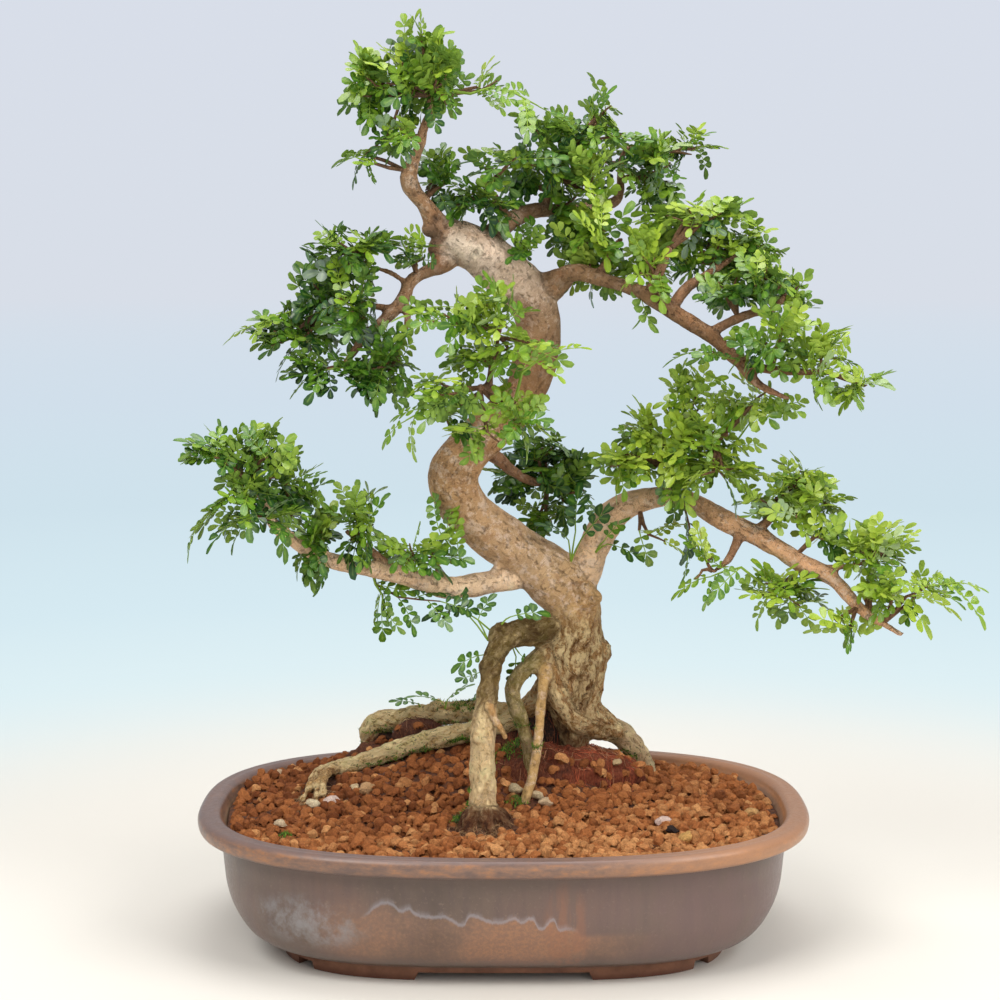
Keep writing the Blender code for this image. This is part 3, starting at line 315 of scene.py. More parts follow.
# Moss: place, spread and number of blades. At height 0 it lies on the soil, else on the wood
MOSS = [
    ((-0.1444, -0.074, 0.0), 0.003, 80),
    ((0.0079, -0.022, 0.0), 0.0030, 200),
    ((0.0118, 0.024, 0.0), 0.006, 200),
    ((-0.0010, 0.026, 0.0), 0.006, 200),
    ((-0.0290, -0.048, 0.0), 0.0035, 150),
    ((-0.0250, -0.046, 0.100), 0.0035, 160),
    ((-0.0240, -0.046, 0.110), 0.0030, 90),
    ((-0.0300, 0.042, 0.124), 0.0050, 260),
    ((-0.0300, 0.068, 0.143), 0.0080, 260),
    ((-0.0550, 0.074, 0.128), 0.0100, 120),
    ((-0.0850, 0.080, 0.120), 0.0080, 120),
    ((-0.0950, 0.078, 0.112), 0.0050, 90),
    ((-0.0850, 0.038, 0.106), 0.0080, 110),
    ((-0.0600, 0.038, 0.113), 0.0070, 110),
    ((0.0880, 0.056, 0.104), 0.005, 130),
    ((0.0960, 0.062, 0.098), 0.004, 60),
    ((0.0230, -0.006, 0.130), 0.004, 60),
    ((0.0140, 0.006, 0.142), 0.005, 60),
]

# Lights: name, place, size, power and colour in linear light
LIGHTS = [
    ("key", (-1.3, -1.5, 2.2), 1.5, 44.0, (1.0, 0.985, 0.955)),
    ("fill", (1.7, -1.3, 1.7), 1.6, 40.0, (1.0, 0.985, 0.96)),
    ("top", (0.1, 0.2, 2.6), 1.6, 30.0, (1.0, 0.995, 0.98)),
    ("low", (0.25, -1.2, 0.30), 0.7, 2.2, (1.0, 0.97, 0.93)),
]

# Each spray's pads of leaves, in millimetres: middle, half lengths, number of leaves, and age in hundredths
SPRAY_PADS = {
    "spray_apex": [
        (-65, -4, 579, 23, 25, 29, 46, 50), (-43, -10, 575, 15, 23, 33, 42, 50), (-91, 4, 577, 17, 20, 24, 36, 50),
        (-64, -9, 545, 19, 20, 16, 18, 50), (-58, 4, 608, 15, 20, 14, 16, 50), (-11, 6, 578, 17, 20, 14, 5, 50),
        (-91, -10, 532, 14, 20, 14, 5, 50)],
    "spray_upper_back_left": [
        (60, 46, 548, 36, 24, 15, 33, 42), (42, 52, 500, 17, 25, 36, 32, 42), (27, 35, 526, 27, 23, 22, 29, 42),
        (17, 52, 516, 19, 20, 18, 18, 42), (21, 35, 552, 17, 20, 14, 10, 42), (68, 56, 563, 14, 20, 14, 9, 42)],
    "spray_upper_back_right": [
        (109, 88, 519, 19, 24, 32, 48, 42), (68, 83, 531, 34, 27, 24, 18, 42), (136, 97, 537, 15, 20, 15, 13, 42)],
    "spray_upper_back_low": [
        (-18, 13, 501, 24, 20, 14, 37, 32), (-44, 18, 514, 16, 20, 22, 22, 32), (13, 22, 470, 14, 20, 18, 15, 32),
        (4, 8, 526, 34, 23, 14, 14, 32)],
    "spray_upper_right_near": [
        (64, 25, 476, 28, 26, 26, 39, 58), (60, 31, 507, 19, 25, 33, 23, 58), (58, 29, 454, 24, 20, 16, 40, 58)],
    "spray_upper_right_top": [
        (97, -1, 454, 18, 25, 34, 43, 62)],
    "spray_upper_right_back": [
        (131, 19, 492, 35, 23, 14, 48, 52), (140, 28, 466, 32, 24, 19, 57, 52), (167, 30, 471, 22, 20, 15, 41, 52)],
    "spray_upper_right_end": [
        (149, -17, 445, 18, 20, 14, 35, 46), (171, -24, 451, 19, 20, 16, 29, 46),
        (192, -10, 436, 14, 20, 24, 22, 46)],
    "spray_right_tip": [
        (209, -53, 397, 21, 22, 26, 26, 70), (233, -59, 386, 13, 20, 17, 14, 70)],
    "spray_right_tip_low": [
        (176, -50, 412, 25, 23, 24, 34, 56)],
    "spray_right_middle": [
        (119, 2, 326, 15, 24, 35, 43, 72), (129, 13, 367, 19, 22, 29, 25, 72), (84, -3, 325, 22, 20, 15, 35, 70),
        (95, 11, 344, 15, 20, 19, 31, 70), (98, 10, 273, 26, 20, 15, 5, 70)],
    "spray_right_middle_side": [
        (168, -13, 369, 33, 25, 19, 23, 70), (134, -3, 339, 28, 23, 21, 29, 70), (145, -25, 319, 25, 20, 14, 27, 70)],
    "spray_right_low_top": [
        (197, -16, 315, 20, 20, 14, 34, 68), (182, -21, 302, 21, 20, 14, 22, 68),
        (197, -25, 295, 21, 20, 17, 16, 68), (215, -10, 299, 14, 20, 15, 16, 68)],
    "spray_right_low_under": [
        (185, -33, 238, 27, 24, 22, 35, 50), (132, -26, 255, 19, 22, 27, 5, 50)],
    "spray_right_low_fork": [
        (249, -42, 267, 26, 25, 26, 45, 72)],
    "spray_right_low_end": [
        (267, -53, 244, 34, 23, 14, 22, 76), (251, -44, 234, 21, 20, 17, 10, 76), (222, -64, 225, 19, 20, 14, 8, 60)],
    "spray_right_low_back": [
        (206, -26, 280, 30, 21, 15, 19, 62)],
    "spray_left_low_tip": [
        (-158, -57, 340, 18, 20, 17, 21, 37), (-163, -68, 293, 31, 21, 13, 18, 37),
        (-169, -63, 309, 21, 20, 20, 21, 37), (-186, -62, 339, 22, 20, 13, 20, 37),
        (-166, -63, 325, 29, 24, 22, 19, 37)],
    "spray_left_low_side": [
        (-125, -33, 273, 19, 21, 24, 42, 35), (-148, -37, 313, 27, 24, 23, 33, 35)],
    "spray_left_low_fork": [
        (-96, -28, 284, 15, 23, 33, 22, 40)],
    "spray_left_low_twig": [
        (-63, -9, 265, 35, 26, 19, 24, 44)],
    "spray_upper_left_top": [
        (-99, -22, 468, 28, 23, 21, 45, 31), (-101, -33, 432, 25, 27, 31, 30, 31),
        (-61, -12, 467, 14, 20, 14, 11, 31)],
    "spray_upper_left_fork": [
        (-143, -8, 408, 28, 25, 24, 42, 23), (-124, -4, 438, 18, 24, 32, 38, 23)],
    "spray_upper_left_low": [
        (-114, -34, 391, 34, 23, 14, 36, 25)],
    "spray_upper_left_twig": [
        (-79, -34, 392, 21, 23, 28, 34, 34), (-47, -27, 357, 27, 20, 14, 10, 34)],
    "spray_front": [
        (5, -56, 362, 22, 23, 26, 19, 60), (-35, -66, 381, 23, 20, 14, 23, 60), (-13, -45, 397, 24, 20, 18, 24, 60),
        (13, -62, 407, 25, 20, 13, 13, 60), (-13, -67, 348, 23, 20, 13, 9, 60)],
    "spray_front_top": [
        (-40, -53, 425, 32, 25, 21, 28, 62), (-2, -48, 424, 20, 26, 34, 19, 62)],
    "spray_back_middle": [
        (24, 86, 305, 37, 26, 17, 44, 26), (27, 95, 324, 30, 22, 16, 37, 26), (49, 79, 295, 15, 20, 25, 23, 26),
        (28, 79, 276, 15, 20, 18, 21, 26)],
}

# Long shoots, in millimetres: spray, course, number of leaves, and age in hundredths
SHOOTS = [
    ("spray_apex", [(-22, -10, 573), (-9, -10, 577), (8, -10, 573), (23, -10, 565)], 5, 62),
    ("spray_apex", [(-76, -6, 547), (-85, -6, 539), (-93, -6, 533)], 3, 40),
    ("spray_upper_back_right", [(70, 60, 550), (71, 60, 558), (71, 60, 565)], 3, 80),
    ("spray_upper_left_fork", [(-143, -15, 429), (-154, -15, 425), (-164, -15, 421)], 4, 80),
    ("spray_right_middle", [(143, -10, 327), (158, -10, 342), (168, -10, 356)], 4, 85),
    ("spray_right_middle", [(122, 0, 305), (124, 0, 293), (127, 0, 282), (127, 0, 270)], 5, 30),
    ("spray_left_low_tip", [(-182, -60, 309), (-190, -60, 302), (-197, -60, 297)], 4, 55),
    ("spray_right_low_under", [(159, -36, 259), (147, -36, 256), (139, -36, 253)], 4, 60),
    ("spray_right_low_end", [(274, -55, 248), (286, -55, 250), (299, -55, 252)], 5, 70),
    ("spray_front", [(-44, -62, 372), (-55, -62, 365), (-64, -62, 360)], 4, 75),
    ("spray_front", [(12, -58, 391), (21, -58, 398), (29, -58, 403)], 3, 80),
    ("spray_upper_right_near", [(66, -4, 476), (65, -4, 483), (63, -4, 491)], 3, 95),
    ("spray_left_low_fork", [
        (-87, -12, 244), (-80, -12, 240), (-72, -12, 235), (-56, -12, 233), (-43, -12, 232)], 7, 42),
    ("spray_left_low_fork", [(-87, -14, 244), (-82, -14, 236), (-83, -14, 228)], 4, 62),
    ("spray_left_low_twig", [(-26, 0, 257), (-35, 0, 266), (-43, 0, 277)], 5, 70),
    ("spray_right_tip_low", [(156, -48, 399), (146, -48, 401), (135, -48, 405)], 4, 40),
]

# Ridges of wood that run down from the trunk into the roots
RIDGES = all_metres({
    "ridge_front": [
        (310, 280, 1920, 50), (340, 260, 1710, 75), (410, 270, 1530, 80), (510, 330, 1390, 80), (640, 430, 1320, 70),
        (780, 530, 1240, 50)],
    "ridge_right": [
        (620, 340, 2050, 60), (660, 360, 1820, 70), (620, 360, 1640, 85), (600, 380, 1480, 95), (720, 480, 1340, 85),
        (860, 590, 1220, 60)],
    "ridge_left": [
        (360, 340, 2150, 60), (340, 340, 1960, 75), (340, 380, 1740, 80), (260, 440, 1540, 80), (120, 520, 1400, 65)],
    "arch_shoulder": [
        (360, 320, 2070, 85), (220, 240, 2060, 85), (60, 120, 2050, 85), (-40, -20, 1970, 80), (-90, -140, 1840, 72)],
})

# The trunk's colour by height: its own tone, with painted shade in the darker brown band from about 0.34 to 0.40 and
# painted light in the pale band from 0.45 to 0.48.
TRUNK_COLOURS = [
    (0.100, (112, 80, 50)), (0.150, (170, 132, 82)), (0.200, (194, 156, 102)), (0.228, (192, 155, 108)),
    (0.250, (208, 174, 136)), (0.300, (192, 152, 110)), (0.340, (170, 130, 90)), (0.365, (150, 112, 76)),
    (0.400, (156, 120, 86)), (0.425, (170, 136, 104)), (0.450, (214, 188, 168)), (0.478, (214, 186, 162)),
    (0.492, (168, 130, 98)),
    (0.520, (182, 142, 108)), (0.575, (146, 108, 80)),
]

# How furrowed and how green the bark is, where a limb differs from its like
LIMB_FACTS = {
    "arch": (0.60, 0.06), "arch_shoulder": (0.70, 0.22), "green": (0.50, 0.70), "thin": (0.30, 0.16),
    "back": (1.0, 0.10), "left": (0.9, 0.05), "right": (0.8, 0.04),
}

# Each limb's colour near the trunk and away from it
LIMB_COLOURS = {
    "left_low": ((248, 216, 182), (246, 208, 170)),
    "right_low": ((248, 212, 174), (224, 174, 134)),
    "upper_right": ((148, 116, 86), (128, 94, 64)),
    "upper_back": ((156, 122, 94), (144, 108, 82)),
    "upper_left": ((170, 136, 106), (154, 116, 88)),
    "green": ((172, 150, 94), (156, 148, 86)),
    "thin": ((206, 168, 112), (210, 174, 122)),
    "back": ((255, 222, 162), (255, 234, 182)),
    "left": ((255, 230, 172), (255, 236, 184)),
    "right": ((255, 222, 176), (255, 238, 206)),
    "arch": ((128, 106, 58), (255, 228, 178)),
    "toe": ((206, 172, 118), (206, 172, 118)),
    "stub": ((160, 116, 76), (160, 116, 76)),
    "leg_side": ((200, 158, 104), (200, 158, 104)),
    "foot": ((112, 72, 42), (112, 72, 42)),
}

# All other limbs
TWIG_COLOUR = (148, 110, 82)

RIDGE_COLOUR = (216, 173, 116)


# Patches of another colour on the bark: place, size, colour and share
PATCHES = [
    ((-0.0450, 0.000, 0.4690), 0.018, (128, 86, 56), 0.80),
    ((-0.0440, 0.000, 0.4880), 0.012, (140, 98, 66), 0.60),
    ((-0.0300, 0.000, 0.4700), 0.014, (240, 222, 204), 0.75),
    ((-0.0130, 0.004, 0.4620), 0.018, (238, 216, 198), 0.65),
    ((0.0000, 0.010, 0.4500), 0.016, (226, 198, 176), 0.45),
    ((0.0120, 0.018, 0.4250), 0.016, (140, 100, 72), 0.55),
    ((-0.0330, 0.000, 0.4520), 0.009, (150, 112, 80), 0.50),
    ((-0.0185, 0.002, 0.4680), 0.007, (246, 228, 206), 0.90),
    ((-0.0430, 0.030, 0.3130), 0.012, (226, 204, 180), 0.35),
    ((-0.0100, 0.010, 0.3500), 0.012, (224, 200, 176), 0.35),
]

# Dark scars on the bark: place, size and share. The smaller ones are sunk into holes, and there the dark is partly
# painted shade in the hole.
SCARS = [
    ((-0.046, 0.000, 0.491), 0.0045, 0.95),
    ((-0.050, 0.002, 0.478), 0.0110, 0.55),
    ((-0.036, 0.004, 0.494), 0.0070, 0.50),
    ((-0.0185, 0.002, 0.4680), 0.0032, 0.55),
    ((-0.0225, 0.002, 0.4640), 0.0030, 0.50),
    ((-0.0247, 0.004, 0.4560), 0.0042, 0.62),
    ((-0.0600, -0.002, 0.5060), 0.0034, 0.70),
    ((0.0620, 0.014, 0.224), 0.0035, 0.70),
    ((0.0600, 0.010, 0.240), 0.0030, 0.55),
    ((0.036, 0.030, 0.128), 0.0140, 0.75),
    ((0.046, 0.040, 0.112), 0.0140, 0.85),
]

# Single leaves on old wood, in tenths of a millimetre: where the stalk starts, the leaf starts and its tip is
SPRIG_LEAVES = all_metres({
    "sprig_root_arch": [
        (-93, 40, 2023, -258, 20, 2219, -491, 0, 2289), (-93, 40, 2023, -175, 40, 2163, -120, 50, 2340),
        (-175, 40, 2120, -258, 20, 2219, -330, 30, 2400), (-24, 40, 2107, 50, 40, 2185, 270, 40, 2261)],
    "sprout_arch_inner": [
        (-79, 0, 1954, -130, -10, 1930, -340, -30, 1912), (-107, -40, 1855, -150, -50, 1820, -310, -60, 1757),
        (60, 160, 1990, 88, 220, 1870, 74, 240, 1640), (60, 160, 1990, 110, 200, 1900, 230, 230, 1780)],
    "sprig_fork": [
        (480, 260, 2550, 498, 180, 2760, 484, 120, 3040), (480, 260, 2550, 540, 180, 2710, 690, 120, 2932),
        (480, 260, 2550, 450, 180, 2700, 330, 120, 2880)],
    "sprout_fork_right": [
        (640, 280, 2600, 720, 220, 2665, 950, 160, 2640), (640, 280, 2600, 700, 220, 2690, 800, 180, 2860)],
    "sprout_back_root": [
        (-420, 760, 1390, -456, 740, 1450, -640, 700, 1540), (-420, 760, 1390, -400, 740, 1460, -300, 700, 1600),
        (-250, 740, 1410, -240, 720, 1460, -100, 680, 1540), (-600, 800, 1370, -620, 780, 1420, -780, 740, 1480)],
})

# Leaflet pairs of the kinds of leaf, in turn
LEAF_PAIRS = (4, 5, 4, 3, 5, 4)

# The lower edge of the upper glaze on the tray's front, in tenths of a millimetre: x and height
GLAZE_RUN = metres([
    (-920, 490), (-862, 530), (-817, 573), (-747, 602), (-690, 583), (-652, 550), (-608, 570), (-564, 537),
    (-475, 517), (-367, 517), (-310, 485), (-259, 465), (-214, 530), (-157, 517), (-94, 491), (-5, 485), (65, 511),
    (116, 485), (173, 511), (236, 439), (274, 470), (312, 498), (357, 430), (408, 440), (491, 380),
])

# Matted roots, and one dark lump of painted shadow: middle, half lengths, colour, whether grains cover them, and
# number of fibres
MATTED = [
    ((0.050, 0.036, 0.100), (0.046, 0.026, 0.019), (134, 62, 36), False, 400),
    ((0.024, 0.026, 0.102), (0.034, 0.024, 0.021), (112, 58, 36), False, 260),
    ((0.030, 0.056, 0.124), (0.022, 0.013, 0.026), (50, 30, 22), False, 80),
    ((0.004, 0.058, 0.112), (0.030, 0.014, 0.018), (84, 46, 30), False, 60),
    ((-0.040, 0.070, 0.112), (0.040, 0.013, 0.015), (92, 52, 34), False, 100),
    ((-0.013, -0.055, 0.082), (0.021, 0.017, 0.0075), (88, 58, 38), False, 90),
    # A dark bare lump under the left root's toes: painted shadow under the root's end.
    ((-0.128, 0.024, 0.088), (0.013, 0.020, 0.0075), (84, 56, 38), False, 40),
    ((-0.080, 0.082, 0.098), (0.034, 0.024, 0.0165), (92, 50, 28), True, 0),
    ((-0.088, 0.086, 0.110), (0.014, 0.008, 0.011), (64, 40, 28), True, 0),
    ((-0.060, 0.068, 0.121), (0.019, 0.010, 0.012), (84, 44, 27), True, 0),
]


def linear(red, green, blue):
    """A colour given as 0 to 255 steps of a screen, in linear light."""
    made = []
    for step in (red, green, blue):
        value = step / 255.0
        made.append(value / 12.92 if value <= 0.04045 else ((value + 0.055) / 1.055) ** 2.4)
    return (*made, 1.0)


def screen_tone(colour):
    return Vector(linear(*colour)[:3])


class Nodes:
    """Short calls for building a material's nodes."""

    def __init__(self, name, roughness):
        self.material = bpy.data.materials.new(name)
        self.material.use_nodes = True
        self.tree = self.material.node_tree
        self.shader = self.tree.nodes["Principled BSDF"]
        self.set("Roughness", roughness)

    def put(self, value, target):
        """Links an output to an input, or sets the input to a number or a colour."""
        if hasattr(value, "is_linked"):
            self.tree.links.new(value, target)
        else:
            target.default_value = value

    def set(self, name, value):
        self.put(value, self.shader.inputs[name])

    def add(self, kind, inputs, **settings):
        """A new node's outputs. inputs says what each input, by name or number, is linked or set to."""
        node = self.tree.nodes.new(kind)
        for key, value in settings.items():
            setattr(node, key, value)
        for key, value in inputs.items():
            self.put(value, node.inputs[key])
        return node.outputs

    def place(self):
        return self.add("ShaderNodeTexCoord", {})["Object"]

    def attribute(self, name, output="Fac"):
        return self.add("ShaderNodeAttribute", {}, attribute_name=name)[output]

    def noise(self, vector, scale, detail=4.0, roughness=0.55):
        facts = {"Vector": vector, "Scale": scale, "Detail": detail, "Roughness": roughness}
        return self.add("ShaderNodeTexNoise", facts)["Fac"]

    def stretch(self, vector, scale, offset=(0.0, 0.0, 0.0)):
        return self.add("ShaderNodeMapping", {"Vector": vector, "Scale": scale, "Location": offset})["Vector"]

    def math(self, operation, *values, clamp=False):
        return self.add("ShaderNodeMath", dict(enumerate(values)), operation=operation, use_clamp=clamp)["Value"]

    def plus(self, first, second, clamp=False):
        return self.math("ADD", first, second, clamp=clamp)

    def minus(self, first, second):
        return self.math("SUBTRACT", first, second)

    def times(self, first, second):
        return self.math("MULTIPLY", first, second)

    def range(self, value, low, high, to_low=0.0, to_high=1.0):
        facts = {"Value": value, "From Min": low, "From Max": high, "To Min": to_low, "To Max": to_high}
        return self.add("ShaderNodeMapRange", facts, interpolation_type="SMOOTHSTEP")["Result"]

    def ramp(self, value, stops):
        """Colours by value. A stop's colour is a screen colour, or four numbers in linear light."""
        node = self.tree.nodes.new("ShaderNodeValToRGB")
        self.put(value, node.inputs["Fac"])
        elements = node.color_ramp.elements
        stops = [(place, colour if len(colour) == 4 else linear(*colour)) for place, colour in stops]
        elements[0].position, elements[0].color = stops[0]
        elements[1].position, elements[1].color = stops[-1]
        for position, colour in stops[1:-1]:
            elements.new(position).color = colour
        return node.outputs["Color"]

    def mix(self, factor, first, second, blend="MIX"):
        facts = {0: factor, 6: first, 7: second}
        return self.add("ShaderNodeMix", facts, data_type="RGBA", blend_type=blend)[2]

    def wash(self, colour, layers):
        """Lays screen colours over a colour, each by the share that a value between low and high gives."""
        for value, low, high, share, tone in layers:
            colour = self.mix(self.range(value, low, high, 0.0, share), colour, linear(*tone))
        return colour

    def bump(self, height, strength, distance):
        facts = {"Height": height, "Strength": strength, "Distance": distance}
        self.set("Normal", self.add("ShaderNodeBump", facts)["Normal"])

    def colour(self, output):
        self.set("Base Color", output)


def put_object(name, data):
    made = bpy.data.objects.new(name, data)
    bpy.context.scene.collection.objects.link(made)
    return made


def put_mesh(name, work):
    """An object of what was built in work, which is freed."""
    data = bpy.data.meshes.new(name)
    work.to_mesh(data)
    work.free()
    return put_object(name, data)


def dress(data, material):
    data.materials.clear()
    data.materials.append(material)


def put_layer(data, name, kind, field, values):
    """A value at each point of a mesh, for its material."""
    layer = data.attributes.new(name, kind, "POINT")
    layer.data.foreach_set(field, values.astype(np.float32).ravel())


def ball(subdivisions, radius=1.0):
    """Places and triangles of a ball."""
    work = bmesh.new()
    bmesh.ops.create_icosphere(work, subdivisions=subdivisions, radius=radius)
    places = [vert.co.copy() for vert in work.verts]
    faces = np.array([[vert.index for vert in face.verts] for face in work.faces])
    work.free()
    return places, faces


def surface(ground, place, start):
    """The highest place of the ground straight below a place, looked for from a height."""
    return ground.ray_cast(Vector((place.x, place.y, start)), DOWN)[0]


class Shape:
    """Gathers points, faces, each face's material and each point's values for one mesh."""

    def __init__(self):
        self.verts = []
        self.faces = []
        self.slots = []
        self.values = []
        self.count = 0

    def add(self, verts, faces, slots, value):
        """verts is an array of places; slots is one material or one for each face."""
        self.verts.append(verts)
        self.faces.append(np.asarray(faces, dtype=np.int64) + self.count)
        self.slots.append(np.broadcast_to(np.asarray(slots), (len(faces),)))
        self.values.append(np.broadcast_to(np.asarray(value, dtype=np.float64), (len(verts), 4)))
        self.count += len(verts)

    def make(self, name, materials, sharp=60.0):
        data = bpy.data.meshes.new(name)
        verts = np.concatenate(self.verts)
        faces = np.concatenate(self.faces)
        data.from_pydata(verts.tolist(), [], faces.tolist())
        data.polygons.foreach_set("material_index", np.concatenate(self.slots).astype(np.int32))
        put_layer(data, "tint", "FLOAT_COLOR", "color", np.concatenate(self.values))
        for material in materials:
            data.materials.append(material)
        data.shade_smooth()
        data.set_sharp_from_angle(angle=math.radians(sharp))
        return put_object(name, data)


def tube(points, radii, sides):
    """Places and triangles of a round tube along points, closed at its ends."""
    points = [Vector(point) for point in points]
    verts = []
    normal = None
    for index, point in enumerate(points):
        before = points[max(index - 1, 0)]
        after = points[min(index + 1, len(points) - 1)]
        along = (after - before).normalized()
        normal = along.orthogonal() if normal is None else normal - along * normal.dot(along)
        normal.normalize()
        across = along.cross(normal)
        for side in range(sides):
            angle = 2.0 * math.pi * side / sides
            verts.append(point + (normal * math.cos(angle) + across * math.sin(angle)) * radii[index])
    faces = []
    for ring in range(len(points) - 1):
        for side in range(sides):
            a = ring * sides + side
            b = ring * sides + (side + 1) % sides
            faces += [(a, b, b + sides), (a, b + sides, a + sides)]
    last = (len(points) - 1) * sides
    for side in range(1, sides - 1):
        faces += [(0, side + 1, side), (last, last + side, last + side + 1)]
    return np.array([tuple(vert) for vert in verts]), faces


def apply_modifiers(target):
    bpy.context.view_layer.update()
    graph = bpy.context.evaluated_depsgraph_get()
    data = bpy.data.meshes.new_from_object(target.evaluated_get(graph))
    target.modifiers.clear()
    target.data = data


def rng_vector(rng):
    while True:
        made = Vector((rng.uniform(-1, 1), rng.uniform(-1, 1), rng.uniform(-1, 1)))
        if 0.1 < made.length < 1.0:
            return made.normalized()


def curve_point(points, place):
    """A point of the smooth curve through the points, at a place counted in points from the first."""
    index = min(int(place), len(points) - 4)
    t = place - index
    before, start, end, after = points[index:index + 4]
    return 0.5 * (
        2 * start + (end - before) * t
        + (2 * before - 5 * start + 4 * end - after) * t ** 2
        + (3 * start - before - 3 * end + after) * t ** 3)


def with_ends(points):
    """The points, with one more at each end in line with the last two."""
    return [2 * points[0] - points[1]] + points + [2 * points[-1] - points[-2]]


def smooth_route(route, step):
    """Evenly spaced points, with their radius, along one smooth curve through a limb's own points."""
    points = with_ends([Vector(place) for place in route])
    spans = len(route) - 1
    parts = spans * ROUTE_PARTS
    fine = [curve_point(points, spans * index / parts) for index in range(parts + 1)]
    made = [fine[0]]
    run = 0.0
    for before, after in zip(fine, fine[1:]):
        run += (after.to_3d() - before.to_3d()).length
        if run >= step:
            made.append(after)
            run = 0.0
    made.append(fine[-1])
    return made


# Wood

def limb_facts():
    """For each limb: how furrowed its bark is, and how green it is."""
    facts = dict.fromkeys(["trunk", *BRANCHES], (0.15, 0.0))
    facts.update(dict.fromkeys([*ROOTS, *RIDGES], (0.95, 0.05)))
    facts.update(LIMB_FACTS)
    for key in ROOTS:
        if key.startswith(("toe", "foot_", "leg_")):
            facts[key] = (0.4 if key.startswith("leg_") else 0.8, 0.0)
    return facts


def blend_colours(stops, value):
    """A colour from stops of (value, screen colour), in linear light."""
    if value <= stops[0][0]:
        return screen_tone(stops[0][1])
    for (low, first), (high, second) in zip(stops, stops[1:]):
        if value <= high:
            share = (value - low) / (high - low)
            return screen_tone(first).lerp(screen_tone(second), share)
    return screen_tone(stops[-1][1])


def limb_colour(key, place):
    """The bark's colour on a limb at a place measured from the tray's middle."""
    if key == "trunk":
        # The trunk's tone by height, with its painted bands of shade and light.
        return blend_colours(TRUNK_COLOURS, place.z)
    if key.startswith("arch"):
        near, far = LIMB_COLOURS["arch"]
        return blend_colours([(0.100, far), (0.146, far), (0.166, near), (0.196, near)], place.z)
    if key in RIDGES:
        return screen_tone(RIDGE_COLOUR)
    if key.startswith(("toe_", "foot_")):
        key = key.split("_")[0]
    if key not in LIMB_COLOURS:
        return screen_tone(TWIG_COLOUR)
    near, far = LIMB_COLOURS[key]
    return blend_colours([(0.05, near), (0.13, far)], math.hypot(place.x - 0.01, place.y - 0.03))


def grown_mesh():
    """All limbs as overlapping tubes, skinned over as one body."""
    shape = Shape()
    samples = []
    for key, route in [("trunk", TRUNK), *BRANCHES.items(), *ROOTS.items(), *RIDGES.items()]:
        smooth = smooth_route(route, RING_STEP)
        places = [point.to_3d() + MIDDLE for point in smooth]
        radii = []
        for place, point in zip(places, smooth):
            swell = 1.0 + 0.07 * noise.noise(place / 0.022) + 0.05 * noise.noise(place / 0.009)
            radii.append(max(point.w, THINNEST_LIMB) * swell)
        shape.add(*tube(places, radii, RING_SIDES), 0, BLACK)
        run = 0.0
        for index, place in enumerate(places):
            if index:
                run += (place - places[index - 1]).length
            samples.append((key, place, radii[index], run, places[min(index + 1, len(places) - 1)]))
    for *place, radius in KNOTS:
        verts, faces = ball(2, radius)
        shape.add(np.array([tuple(vert + Vector(place) + MIDDLE) for vert in verts]), faces, 0, BLACK)
    made = shape.make("tree_wood", [])
    skin = made.modifiers.new("skin", "REMESH")
    skin.mode = "VOXEL"
    skin.voxel_size = BARK_GRID
    apply_modifiers(made)
    return made, samples


def read_mesh(data):
    places = np.zeros(len(data.vertices) * 3, np.float32)
    data.vertices.foreach_get("co", places)
    edges = np.zeros(len(data.edges) * 2, np.int32)
    data.edges.foreach_get("vertices", edges)
    return places.reshape(-1, 3).astype(np.float64), edges.reshape(-1, 2)


def spread(values, edges, times):
    """Evens a value, or a place, out among neighbouring points."""
    links = np.bincount(edges.ravel(), minlength=len(values)).reshape(-1, 1)
    flat = values.reshape(len(values), -1)
    for _ in range(times):
        total = np.zeros_like(flat)
        for column in range(flat.shape[1]):
            total[:, column] += np.bincount(edges[:, 0], flat[edges[:, 1], column], len(flat))
            total[:, column] += np.bincount(edges[:, 1], flat[edges[:, 0], column], len(flat))
        flat = flat + 0.5 * (total / np.maximum(links, 1) - flat)
    return flat.reshape(values.shape)


def nearest_limb(places, samples):
    """For each place, the number of the limb sample whose skin is nearest."""
    centres = np.array([tuple(sample[1]) for sample in samples])
    radii = np.array([sample[2] for sample in samples])
    found = np.zeros(len(places), np.int64)
    for start in range(0, len(places), LIMB_CHUNK):
        chunk = places[start:start + LIMB_CHUNK]
        square = (chunk ** 2).sum(1)[:, None] + (centres ** 2).sum(1)[None, :] - 2.0 * chunk @ centres.T
        reach = np.sqrt(np.maximum(square, 0.0)) - radii[None, :]
        found[start:start + LIMB_CHUNK] = reach.argmin(1)
    return found


def grain_places(places, samples, found):
    """Each point's place in its limb's own terms: two across the limb and one along it."""
    made = np.zeros_like(places)
    frames = []
    normal = Vector((0.0, 1.0, 0.0))
    for _, place, _, _, ahead in samples:
        along = ahead - place
        if along.length < 1e-6:
            along = frames[-1][0].copy()
        along.normalize()
        normal = normal - along * normal.dot(along)
        if normal.length < 1e-3:
            normal = along.orthogonal()
        normal = normal.normalized()
        frames.append((along, normal, along.cross(normal)))
    base = np.array([tuple(sample[1]) for sample in samples])[found]
    runs = np.array([sample[3] for sample in samples])[found]
    offset = places - base
    for column, part in ((0, 1), (1, 2)):
        axis = np.array([tuple(sample[part]) for sample in frames])[found]
        made[:, column] = (offset * axis).sum(1)
    axis = np.array([tuple(sample[0]) for sample in frames])[found]
    made[:, 2] = runs + (offset * axis).sum(1)
    return made


def distances(places, place):
    return np.linalg.norm(places - np.array(Vector(place) + MIDDLE), axis=1)


def toned(colour, tone, share):
    """Each point's colour, with its share of a screen colour over it."""
    return colour + (np.array(linear(*tone)[:3]) - colour) * share[:, None]


